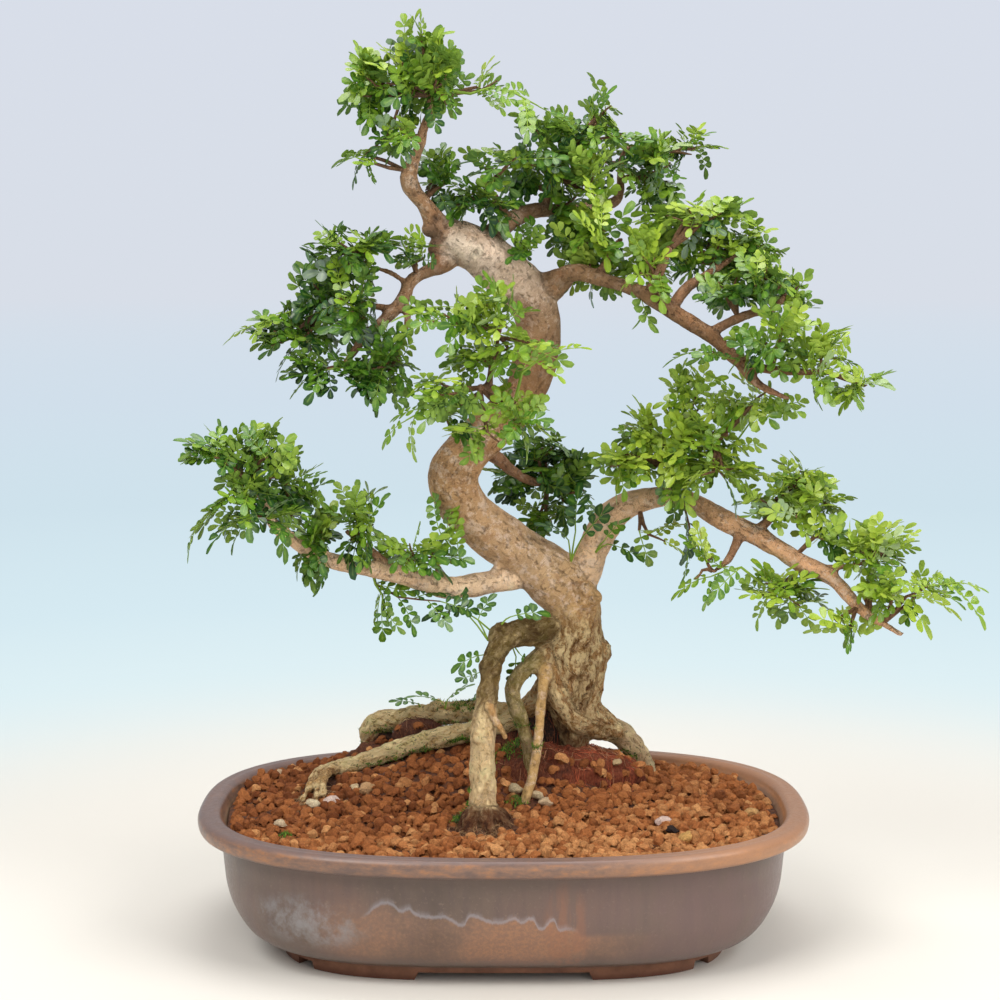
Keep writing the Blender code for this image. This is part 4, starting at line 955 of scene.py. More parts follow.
def wood():
    """Trunk, branches and roots, with furrowed bark on the roots and a smoother pale trunk."""
    made, samples = grown_mesh()
    facts = limb_facts()
    places, edges = read_mesh(made.data)
    places = spread(places, edges, 3)
    found = nearest_limb(places, samples)
    grain = grain_places(places, samples, found)
    keys = [sample[0] for sample in samples]
    rough = np.array([facts[key][0] for key in keys])[found]
    green = np.array([facts[key][1] for key in keys])[found]
    colour = np.array([tuple(limb_colour(sample[0], sample[1] - MIDDLE)) for sample in samples])[found]
    on_trunk = np.array([key == "trunk" for key in keys])[found]
    low = np.clip((TRUNK_ROUGH_BELOW - places[:, 2]) / TRUNK_ROUGH_FADE, 0.0, 1.0) * on_trunk
    rough = np.maximum(rough, low * 1.1)
    rough = spread(rough, edges, 12)
    green = spread(green, edges, 16)
    colour = spread(colour, edges, 12)

    data = made.data
    data.vertices.foreach_set("co", places.astype(np.float32).ravel())
    data.update()
    normals = np.zeros(len(places) * 3, np.float32)
    data.vertices.foreach_get("normal", normals)
    normals = normals.reshape(-1, 3).astype(np.float64)
    furrow = np.zeros(len(places))
    mottle = np.zeros(len(places))
    lump = np.zeros(len(places))
    for index, (place, own) in enumerate(zip(places, grain)):
        spot = Vector(place)
        warp = noise.noise_vector(spot / 0.010)
        streak = Vector((own[0] / 0.0050, own[1] / 0.0050, own[2] / 0.0125))
        fine = Vector((own[0] / 0.0028, own[1] / 0.0028, own[2] / 0.0056))
        wave = 1.0 - 2.4 * abs(noise.noise(streak + 0.8 * warp))
        wave += 0.7 * noise.noise(fine + 0.6 * warp)
        furrow[index] = wave
        mottle[index] = noise.noise(spot / 0.012) + 0.5 * noise.noise(spot / 0.005)
        lump[index] = noise.noise(spot / 0.016 + Vector((3.0, 0.0, 0.0)))
    lift = FURROW_DEPTH * rough * (furrow - 0.45) + MOTTLE_HEIGHT * mottle + LUMP_HEIGHT * rough * lump
    scar_and_hollow_shade = np.zeros(len(places))
    for place, size, dark in SCARS:
        near = np.clip(1.0 - distances(places, place) / size, 0.0, 1.0)
        scar_and_hollow_shade = np.maximum(scar_and_hollow_shade, dark * np.clip(near * 1.8, 0.0, 1.0))
        if size < SUNK_SCAR:
            lift -= SCAR_DEPTH * near
    places = places + normals * lift[:, None]
    data.vertices.foreach_set("co", places.astype(np.float32).ravel())

    furrowed = np.clip(rough, 0.0, 1.0)
    # Painted shade in the furrows' grooves, where the surface is sunk.
    crease_shade = np.clip(0.20 - furrow, 0.0, 1.0) * furrowed
    # Painted highlight on the furrows' crests, where the surface is raised.
    crest_highlight = np.clip(furrow - 0.75, 0.0, 0.6) * furrowed
    under = np.clip(-normals[:, 2], 0.0, 1.0)
    mossy = np.clip(green * (0.65 + 0.8 * mottle) + 0.45 * rough * under * (mottle > -0.1), 0.0, 1.0)
    for place, size, patch, share in PATCHES:
        near = np.clip((1.0 - distances(places, place) / size + 0.25 * mottle) * 2.0, 0.0, 1.0) * share
        colour = toned(colour, patch, near)
    colour = colour * (1.0 + 0.22 * mottle[:, None] + 0.16 * lump[:, None])
    colour = colour * (np.array((0.94, 0.91, 0.85)) + furrowed[:, None] * np.array((0.18, 0.06, 0.01)))
    # Painted shade in the grooves and a painted highlight on the crests, laid over the bark's colour.
    colour = toned(colour, (84, 58, 34), np.clip(crease_shade * 0.40, 0.0, 0.32))
    colour = toned(colour, (226, 190, 138), 0.65 * crest_highlight)
    colour = toned(colour, (98, 110, 44), 0.75 * mossy)
    # Dark scars, with painted shade in the sunk holes.
    colour = toned(colour, (64, 44, 32), scar_and_hollow_shade)
    values = np.ones((len(places), 4))
    values[:, :3] = np.clip(colour, 0.0, 1.0)
    put_layer(data, "tint", "FLOAT_COLOR", "color", values)
    put_layer(data, "grain", "FLOAT_VECTOR", "vector", grain)
    put_layer(data, "furrowed", "FLOAT", "value", rough)
    data.update()
    dress(data, bark_material())
    data.shade_smooth()
    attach(made, "root")
    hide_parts("wood")
    return made


def bark_material():
    made = Nodes("pale_bark", 0.85)
    spot = made.place()
    grain = made.attribute("grain", "Vector")
    furrowed = made.range(made.attribute("furrowed"), 0.15, 0.95)
    smooth_share = made.minus(1.0, furrowed)
    colour = made.attribute("tint", "Color")
    grey = made.add("ShaderNodeRGBToBW", {"Color": colour})["Val"]
    light_share = made.range(grey, 0.10, 0.34, 0.10, 1.0)

    pale = made.range(made.noise(spot, 130.0, 8.0, 0.78), 0.50, 0.58, 0.0, 0.50)
    pale = made.times(pale, light_share)
    colour = made.mix(made.times(pale, made.range(smooth_share, 0.0, 1.0, 0.25, 1.0)), colour, linear(236, 210, 188))
    brown = made.noise(made.stretch(spot, (1.0, 1.0, 1.0), (0.3, 0.1, 0.7)), 90.0, 9.0, 0.78)
    brown = made.range(brown, 0.53, 0.62, 0.0, 0.42)
    brown = made.times(brown, made.range(smooth_share, 0.0, 1.0, 0.15, 1.0))
    colour = made.mix(brown, colour, linear(156, 108, 72))
    rings = made.noise(made.stretch(grain, (0.28, 0.28, 1.0)), 430.0, 5.0, 0.66)
    colour = made.mix(made.times(made.range(rings, 0.57, 0.64, 0.0, 0.38), smooth_share), colour, linear(120, 84, 60))
    pores = made.noise(made.stretch(grain, (1.0, 1.0, 0.6)), 360.0, 6.0, 0.74)
    colour = made.mix(made.times(made.range(pores, 0.38, 0.32, 0.0, 0.60), smooth_share), colour, linear(96, 64, 44))
    specks = made.noise(spot, 1150.0, 4.0, 0.66)
    dark_specks = made.times(made.range(specks, 0.59, 0.67, 0.0, 0.40), made.range(smooth_share, 0.0, 1.0, 0.5, 1.0))
    colour = made.mix(dark_specks, colour, linear(96, 66, 46))
    pale_specks = made.times(made.range(specks, 0.41, 0.33, 0.0, 0.40), light_share)
    colour = made.mix(pale_specks, colour, linear(240, 222, 198))

    swirl = made.add("ShaderNodeTexNoise", {"Vector": spot, "Scale": 110.0, "Detail": 3.0})["Color"]
    shrunk = made.add("ShaderNodeVectorMath", {0: swirl, "Scale": 0.010}, operation="SCALE")["Vector"]
    wavy = made.add("ShaderNodeVectorMath", {0: grain, 1: shrunk}, operation="ADD")["Vector"]
    plates = made.noise(made.stretch(wavy, (1.0, 1.0, 0.40)), 230.0, 7.0, 0.68)
    flakes = made.noise(made.stretch(wavy, (1.0, 1.0, 0.45)), 520.0, 5.0, 0.64)
    # Painted shade in the cracks between the bark's plates, where the bump sinks them.
    shade = made.ramp(plates, [
        (0.37, (0.30, 0.22, 0.14, 1.0)), (0.43, (0.86, 0.80, 0.68, 1.0)), (0.48, WHITE), (0.70, WHITE)])
    colour = made.mix(furrowed, colour, made.mix(1.0, colour, shade, "MULTIPLY"))
    # Painted highlight on the plates' raised crests.
    crest_highlight = made.times(made.range(plates, 0.47, 0.55), made.times(furrowed, light_share))
    colour = made.mix(made.times(crest_highlight, 0.86), colour, linear(255, 226, 168))
    # Painted shade in the fine cracks between the flakes, where the bump sinks them.
    colour = made.mix(made.times(made.range(flakes, 0.42, 0.37, 0.0, 0.66), furrowed), colour, linear(82, 54, 30))
    # Pale flecks on the flakes' raised tops: the flakes' own pale colour, partly a painted highlight.
    fleck_tone_and_highlight = made.times(made.range(flakes, 0.57, 0.63, 0.0, 0.50), light_share)
    colour = made.mix(made.times(fleck_tone_and_highlight, furrowed), colour, linear(255, 228, 180))
    made.colour(colour)
    made.set("Roughness", made.range(rings, 0.4, 0.6, 0.78, 0.92))
    made.set("Specular IOR Level", 0.3)

    relief = made.times(made.range(plates, 0.34, 0.62), furrowed)
    relief = made.plus(relief, made.times(made.range(flakes, 0.34, 0.60, 0.0, 0.5), furrowed))
    relief = made.plus(relief, made.times(rings, 0.5))
    relief = made.plus(relief, made.times(made.range(pores, 0.32, 0.46, 0.0, 0.35), smooth_share))
    relief = made.plus(relief, made.times(specks, 0.30))
    made.bump(relief, 1.0, 0.0030)
    return made.material


# Leaves

def leaflet(length, width, fold, curl):
    """One blade along +X with its face up: places, triangles, each one's side and how near the rib each place is."""
    rim = [(0.10, 0.14), (0.38, 0.40), (0.70, 0.50), (0.94, 0.30)]
    flat = [(0.0, 0.0)] + rim + [(0.955, 0.0)] + [(u, -v) for u, v in reversed(rim)]
    ribs = [(0.33, 0.0), (0.72, 0.0)]
    verts = []
    for u, v in flat + ribs + ribs:
        verts.append((u * length, v * width, fold * abs(v) * width - curl * u * u * length))
    made = np.array(verts)
    made[10:12, 2] -= 0.00012
    made[12:14, 2] -= 0.00042
    left = [(0, 10, 1), (1, 10, 2), (2, 10, 11), (2, 11, 3), (3, 11, 4), (4, 11, 5)]
    right = [(0, 9, 10), (9, 8, 10), (8, 11, 10), (8, 7, 11), (7, 6, 11), (6, 5, 11)]
    top = left + right
    low = {10: 12, 11: 13}
    bottom = [tuple(low.get(i, i) for i in reversed(face)) for face in top]
    rib = np.zeros(14)
    rib[[0, 10, 11, 12, 13]] = 1.0
    return made, top + bottom, [0] * len(top) + [1] * len(bottom), rib


def leaf_kind(rng, pairs):
    """One whole leaf along +X with its face up: a thin rib with leaflets in pairs and one at its end."""
    verts = []
    faces = []
    slots = []
    ribs = []

    def put(part_verts, part_faces, part_slots, part_ribs):
        start = sum(len(part) for part in verts)
        verts.append(part_verts)
        faces.extend([tuple(i + start for i in face) for face in part_faces])
        slots.extend(part_slots)
        ribs.append(part_ribs)

    end = PETIOLE + (pairs - 1) * LEAFLET_STEP
    fold = rng.uniform(-0.05, 0.30)
    lift = rng.uniform(-0.05, 0.40)
    for pair in range(pairs):
        size = (0.74, 0.92, 1.02, 1.04, 1.0)[pair] * rng.uniform(0.94, 1.06)
        for side in (-1.0, 1.0):
            blade, blade_faces, blade_slots, rib = leaflet(
                LEAFLET_LENGTH * size * rng.uniform(0.93, 1.07), LEAFLET_WIDTH * size * rng.uniform(0.92, 1.08),
                fold, rng.uniform(-0.05, 0.22))
            turn = Matrix.Rotation(side * math.radians(rng.uniform(56.0, 74.0)), 3, "Z")
            tilt = Matrix.Rotation(-lift + rng.uniform(-0.18, 0.18), 3, "Y")
            roll = Matrix.Rotation(rng.uniform(-0.28, 0.28), 3, "X")
            blade = blade @ np.array(turn @ tilt @ roll).T
            blade[:, 0] += PETIOLE + pair * LEAFLET_STEP + rng.uniform(-0.0006, 0.0006)
            put(blade, blade_faces, blade_slots, rib)
    blade, blade_faces, blade_slots, rib = leaflet(
        LEAFLET_LENGTH * 1.18, LEAFLET_WIDTH * 1.12, fold, rng.uniform(0.0, 0.2))
    blade[:, 0] += end + 0.0022
    put(blade, blade_faces, blade_slots, rib)
    stops = np.linspace(0.0, end + 0.004, 6)
    stem, stem_faces = tube([(x, 0.0, -0.0002) for x in stops], np.linspace(0.0006, 0.0003, 6), 3)
    put(stem, stem_faces, [2] * len(stem_faces), np.zeros(len(stem)))
    joined = np.concatenate(verts)
    droop = rng.uniform(-0.10, 0.42)
    sway = rng.uniform(-0.25, 0.25)
    reach = end + LEAFLET_LENGTH
    joined[:, 2] -= droop * joined[:, 0] ** 2 / reach
    joined[:, 1] += sway * joined[:, 0] ** 2 / reach
    return joined, faces, slots, np.concatenate(ribs), reach


def leaf_frame(direction, face):
    along = direction.normalized()
    normal = (face - along * face.dot(along)).normalized()
    across = normal.cross(along)
    return np.array(Matrix((along, across, normal)).transposed())


def put_leaf(shape, kind, root, direction, face, size, leaf_tone, rng):
    """Adds one leaf that starts at root, points along direction and shows its top towards face."""
    verts, faces, slots, ribs, _ = kind
    matrix = leaf_frame(direction, face) * size
    spot = verts @ matrix.T + np.array(root)
    values = np.empty((len(spot), 4))
    values[:, 0] = max(0.0, min(1.0, leaf_tone))
    values[:, 1] = rng.random()
    values[:, 2] = 1.0 if rng.random() < 0.02 else 0.0
    values[:, 3] = ribs
    shape.add(spot, faces, slots, values)


def put_stem(shape, points, radii, slot, rng):
    shape.add(*tube(points, radii, STEM_SIDES), slot, (0.45, rng.random(), 0.0, 0.0))


def side_view(point):
    """Away from the tree's middle, level."""
    made = Vector((point.x - MIDDLE.x, point.y - MIDDLE.y - 0.03, 0.0))
    return made.normalized() if made.length > 0.001 else Vector((0.0, -1.0, 0.0))


def pad(shape, pad_facts, kinds, wood_tree, rng):
    """Leaves on short shoots that fan out from the twig's end and fill one rounded pad."""
    *steps, count, youth = pad_facts
    middle = from_millimetres(steps[:3])
    half = [step / 1000.0 for step in steps[3:]]
    anchor = wood_tree.find_nearest(middle)[0]
    room = [max(step, SMALLEST_ROOM) for step in half]

    def reach_of(point):
        offset = point - middle
        return math.sqrt(sum((offset[k] / room[k]) ** 2 for k in range(3)))

    shoots = []
    number = max(2, count // LEAVES_PER_SHOOT)
    turn = rng.uniform(0.0, FULL_TURN)
    for shoot in range(number):
        level = max(-0.95, min(0.95, -0.60 + 1.55 * (shoot + 0.5) / number))
        ring = math.sqrt(1.0 - level * level)
        angle = turn + shoot * GOLDEN_ANGLE
        away = Vector((math.cos(angle) * ring * half[0], math.sin(angle) * ring * half[1], level * half[2]))
        end = middle + away * 0.60
        bend = anchor.lerp(middle, 0.75).lerp(end, 0.35) + rng_vector(rng) * 0.003
        shoots.append((bend, end))
        points = [
            anchor, anchor.lerp(bend, 0.5) + rng_vector(rng) * 0.001, bend,
            bend.lerp(end, 0.55) + rng_vector(rng) * 0.001, end]
        put_stem(shape, points, (0.0017, 0.0014, 0.0011, 0.0008, 0.0005), 3, rng)
    made = 0
    for _ in range(count * TRIES_PER_LEAF):
        if made >= count:
            break
        bend, end = shoots[rng.randrange(number)]
        share = rng.uniform(-0.2, 1.0)
        root = bend.lerp(end, share)
        outward = root - middle
        outward = Vector([outward[k] / half[k] for k in range(3)])
        if outward.length > 0.05:
            outward.normalize()
        direction = outward * 0.70 + rng_vector(rng) * 0.95 + Vector((0.0, 0.0, 0.12))
        if direction.length < 0.1:
            continue
        direction.normalize()
        kind = kinds[rng.randrange(len(kinds))]
        size = rng.uniform(0.84, 1.08)
        limit = 1.04 + 0.30 * rng.random() ** 2
        while size > SMALLEST_LEAF and reach_of(root + direction * kind[4] * size) > limit:
            size -= 0.06
        tip = root + direction * kind[4] * size
        if reach_of(tip) > limit:
            continue
        centre_out = root.lerp(tip, 0.5) - middle
        centre_out = Vector([centre_out[k] / half[k] for k in range(3)]).normalized()
        face = Vector((0.0, 0.0, 0.62)) + centre_out * 0.90 + rng_vector(rng) * 0.50
        if face.cross(direction).length < 0.15:
            face += Vector((0.2, -0.6, 0.3))
        if (wood_tree.find_nearest(root.lerp(tip, 0.65))[3] < LEAF_CLEARANCE
                or wood_tree.find_nearest(tip)[3] < TIP_CLEARANCE):
            continue
        height = (root.lerp(tip, 0.6).z - middle.z) / half[2]
        # How pale and yellow a leaf is: partly the pad's age and chance, partly painted light, paler on the pad's top
        # and rim, and painted shade, darker inside the pad.
        leaf_tone = youth / 100.0 + 0.24 * height + 0.30 * (reach_of(tip) - 0.8) + rng.uniform(-0.24, 0.24)
        put_leaf(shape, kind, root, direction, face, size, leaf_tone, rng)
        made += 1


def long_shoot(shape, points, count, youth, kinds, rng):
    """A slender shoot that leaves its spray, with leaves on alternate sides."""
    put_stem(shape, points, np.linspace(0.0012, 0.0005, len(points)), 3 if youth < 0.5 else 2, rng)
    for index in range(count):
        place = 1.0 + (len(points) - 2.0) * index / (count - 1)
        step = min(int(place), len(points) - 2)
        root = points[step].lerp(points[step + 1], place - step)
        along = (points[step + 1] - points[step]).normalized()
        outward = side_view(root)
        side = along.cross(outward * 0.6 + UP * 0.6).normalized() * (1.0 if index % 2 else -1.0)
        last = index == count - 1
        direction = along * (1.0 if last else 0.75) + side * (0.0 if last else 0.65) + rng_vector(rng) * 0.30
        face = UP * 0.60 + outward * 0.45 + rng_vector(rng) * 0.4
        kind = kinds[rng.randrange(len(kinds))]
        put_leaf(
            shape, kind, root, direction.normalized(), face, rng.uniform(0.68, 0.88),
            youth + rng.uniform(-0.12, 0.12), rng)


def spray(name, kinds, wood_tree, materials, index):
    rng = random.Random(SEED * 100 + index)
    shape = Shape()
    pads = SPRAY_PADS[name]
    for pad_facts in pads:
        pad(shape, pad_facts, kinds, wood_tree, rng)
    for owner, route, count, youth in SHOOTS:
        if owner == name:
            route = [from_millimetres(place) for place in route]
            start = from_millimetres(pads[0][:3]).lerp(route[0], 0.4)
            long_shoot(shape, [start] + route, count, youth / 100.0, kinds, rng)
    piece = shape.make("leaves_" + name, materials)
    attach(piece, "root")
    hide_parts(name)


def sprig(name, kinds, wood_tree, materials, index):
    """A few small leaves straight from old wood."""
    rng = random.Random(SEED * 200 + index)
    shape = Shape()
    short = [kind for kind in kinds if kind[4] < PETIOLE + 2.2 * LEAFLET_STEP + LEAFLET_LENGTH]
    for row in SPRIG_LEAVES[name]:
        base, start, tip = (Vector(row[at:at + 3]) + MIDDLE for at in (0, 3, 6))
        base = wood_tree.find_nearest(base)[0]
        points = [base, base.lerp(start, 0.5) + Vector((0, 0, 0.001)), start]
        put_stem(shape, points, (0.0007, 0.0006, 0.0005), 2, rng)
        direction = tip - start
        kind = short[rng.randrange(len(short))]
        face = Vector((0.0, 0.0, 0.8)) + side_view(start) * 0.3 + Vector((0.0, -0.5, 0.0)) + rng_vector(rng) * 0.25
        put_leaf(
            shape, kind, start, direction.normalized(), face, direction.length / kind[4],
            0.38 + rng.uniform(-0.2, 0.2), rng)
    piece = shape.make("leaves_" + name, materials)
    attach(piece, "root")
    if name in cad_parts:
        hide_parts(name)


def leaf_material(name, stops, roughness, shine):
    made = Nodes(name, roughness)
    facts = made.add("ShaderNodeAttribute", {}, attribute_name="tint")
    parts = made.add("ShaderNodeSeparateColor", {"Color": facts["Color"]})
    soft = made.noise(made.place(), 190.0, 2.0)
    factor = made.plus(parts["Red"], made.range(soft, 0.3, 0.7, -0.09, 0.09), clamp=True)
    colour = made.ramp(factor, stops)
    rib = made.math("POWER", facts["Alpha"], 5.0)
    colour = made.mix(made.times(rib, 0.45), colour, linear(156, 186, 84))
    colour = made.mix(made.times(parts["Blue"], 0.45), colour, linear(168, 184, 160))
    made.colour(colour)
    made.set("Specular IOR Level", shine)
    made.bump(made.noise(made.place(), 800.0, 2.0), 0.25, 0.0004)
    return made.material


def leaf_materials():
    face = [
        (0.0, (15, 44, 19)), (0.28, (38, 80, 25)), (0.52, (79, 121, 27)),
        (0.78, (130, 159, 41)), (1.0, (164, 184, 60))]
    back = [
        (0.0, (64, 94, 48)), (0.4, (96, 128, 56)), (0.7, (132, 160, 60)), (1.0, (174, 198, 80))]
    stem = [(0.0, (84, 112, 40)), (1.0, (156, 184, 60))]
    twig = Nodes("young_twig", 0.75)
    soft = twig.noise(twig.place(), 500.0, 3.0)
    twig.colour(twig.ramp(soft, [(0.3, (80, 54, 34)), (0.7, (132, 94, 62))]))
    twig.bump(soft, 0.5, 0.0006)
    return [
        leaf_material("leaf_face", face, 0.30, 0.60), leaf_material("leaf_back", back, 0.55, 0.30),
        leaf_material("leaf_stem", stem, 0.5, 0.3), twig.material]


def foliage(wood_tree):
    rng = random.Random(SEED)
    kinds = [leaf_kind(rng, LEAF_PAIRS[index % len(LEAF_PAIRS)]) for index in range(LEAF_KINDS)]
    materials = leaf_materials()
    for index, name in enumerate(SPRAY_PADS):
        spray(name, kinds, wood_tree, materials, index)
    for index, name in enumerate(SPRIG_LEAVES):
        sprig(name, kinds, wood_tree, materials, index)


# Tray

def signed_power(value, power):
    return math.copysign(abs(value) ** power, value)


def squareness(height):
    """The tray is a plain oval at its rim and squarer towards its base."""
    rise = min(max((0.060 - height) / 0.050, 0.0), 1.0)
    return RIM_SQUARENESS + (BASE_SQUARENESS - RIM_SQUARENESS) * rise


def oval_place(radius, angle, height):
    power = 2.0 / squareness(height)
    return Vector((
        radius * signed_power(math.cos(angle), power),
        radius * TRAY_WIDTH_TO_LENGTH * signed_power(math.sin(angle), power),
        height,
    ))


def rounded(points, steps):
    """A smooth profile through the points."""
    points = with_ends([Vector((x, z, 0.0)) for x, z in points])
    spans = len(points) - 3
    return [tuple(curve_point(points, index / steps)[:2]) for index in range(spans * steps + 1)]


def tray_profile():
    """The turned section from the floor's middle, over the lip and down to the foot, with each point's zone."""
    inner = [(0.0, FLOOR_TOP), (0.100, FLOOR_TOP), (0.148, FLOOR_TOP)]
    inner += rounded([
        (0.152, FLOOR_TOP + 0.0006), (0.174, FLOOR_TOP + 0.012),
        (WALL_HALF_LENGTH - WALL_THICKNESS, 0.070), (0.1895, 0.0815)], 4)
    lip = rounded([
        (0.1925, 0.0865), (0.1938, 0.0898), (0.1968, 0.0918), (0.2012, 0.0914), (0.2058, 0.0912),
        (0.2086, 0.0886), (0.2090, 0.0850), (0.2078, 0.0812), (0.2040, 0.0793), (0.1985, 0.0789)], 3)
    wall = rounded([
        (0.1940, 0.0778), (0.1931, 0.0740), (0.1926, 0.0660), (0.1915, 0.0560), (0.1893, 0.0440), (0.1850, 0.0330),
        (0.1770, 0.0210), (0.1690, 0.0148), (0.1600, 0.0112)], 4)
    foot = [
        (0.1540, 0.0106), (0.1528, 0.0098), (0.1520, 0.0060), (0.1514, 0.0006), (0.1508, 0.0),
        (FOOT_HALF_LENGTH - FOOT_WIDTH + 0.0006, 0.0), (FOOT_HALF_LENGTH - FOOT_WIDTH, 0.0006),
        (FOOT_HALF_LENGTH - FOOT_WIDTH - 0.0012, FLOOR_BOTTOM), (0.100, FLOOR_BOTTOM), (0.0, FLOOR_BOTTOM)]
    return inner, lip, wall, foot


def block(half_x, top_half_x, half_y, low, high):
    work = bmesh.new()
    bmesh.ops.create_cube(work, size=2.0)
    for vert in work.verts:
        raised = vert.co.z > 0
        vert.co = Vector((
            vert.co.x * (top_half_x if raised else half_x), vert.co.y * half_y, high if raised else low))
    return put_mesh("cut", work)


def tray_cutters():
    made = []
    reach = FOOT_HALF_LENGTH * TRAY_WIDTH_TO_LENGTH - 0.5 * FOOT_WIDTH
    for side in (-1, 1):
        gap = block(0.0590, 0.0555, 0.020, -0.002, FOOT_OPENING_HEIGHT)
        gap.location = MIDDLE + Vector((0.0, side * reach, 0.0))
        made.append(gap)
        for end in (-1, 1):
            gap = block(0.0085, 0.0070, 0.022, -0.002, FOOT_OPENING_HEIGHT)
            gap.location = MIDDLE + Vector((end * 0.130, side * 0.086, 0.0))
            gap.rotation_euler = (0.0, 0.0, -end * side * math.radians(40))
            made.append(gap)
        work = bmesh.new()
        bmesh.ops.create_cone(
            work, cap_ends=True, segments=48, radius1=HOLE_RADIUS, radius2=HOLE_RADIUS, depth=0.04)
        hole = put_mesh("hole", work)
        hole.location = MIDDLE + Vector((side * HOLE_OFFSET, 0.0, FLOOR_TOP))
        made.append(hole)
    return made


def tray():
    """The glazed tray, smoother than its solid, with zones for the rim, the inside and the bare foot."""
    inner, lip, wall, foot = tray_profile()
    profile = inner + lip + wall + foot
    zones = [1] * len(inner) + [2] * len(lip) + [3] * len(wall) + [4] * len(foot)
    work = bmesh.new()
    layer = work.verts.layers.float.new("zone")
    rings = []
    for radius, height in profile:
        if radius < 1e-6:
            rings.append([work.verts.new(MIDDLE + Vector((0.0, 0.0, height)))])
            continue
        rings.append([
            work.verts.new(MIDDLE + oval_place(radius, 2.0 * math.pi * side / TRAY_SIDES, height))
            for side in range(TRAY_SIDES)])
    for first, second in zip(rings, rings[1:]):
        for side in range(TRAY_SIDES):
            after = (side + 1) % TRAY_SIDES
            if len(first) == 1:
                work.faces.new((first[0], second[side], second[after]))
            elif len(second) == 1:
                work.faces.new((first[after], first[side], second[0]))
            else:
                work.faces.new((first[side], second[side], second[after], first[after]))
    for ring, zone in zip(rings, zones):
        for vert in ring:
            vert[layer] = zone
    made = put_mesh("glazed_tray", work)
    cutters = tray_cutters()
    group = bpy.data.collections.new("cutters")
    bpy.context.scene.collection.children.link(group)
    for cutter in cutters:
        bpy.context.scene.collection.objects.unlink(cutter)
        group.objects.link(cutter)
    cut = made.modifiers.new("cut", "BOOLEAN")
    cut.operand_type = "COLLECTION"
    cut.collection = group
    cut.solver = "EXACT"
    apply_modifiers(made)
    for cutter in cutters:
        bpy.data.objects.remove(cutter)
    bpy.data.collections.remove(group)
    dress(made.data, glaze_material())
    made.data.shade_smooth()
    made.data.set_sharp_from_angle(angle=math.radians(35))
    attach(made, "root")
    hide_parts("tray")


def spot_mask(made, across, height, centre, half, edge):
    """1 inside an oval on the tray's front and 0 outside it, with a soft edge."""
    x = made.math("POWER", made.math("DIVIDE", made.minus(across, centre[0]), half[0]), 2.0)
    z = made.math("POWER", made.math("DIVIDE", made.minus(height, centre[1]), half[1]), 2.0)
    return made.range(made.plus(x, z), 1.0 + edge, max(0.0, 1.0 - edge))


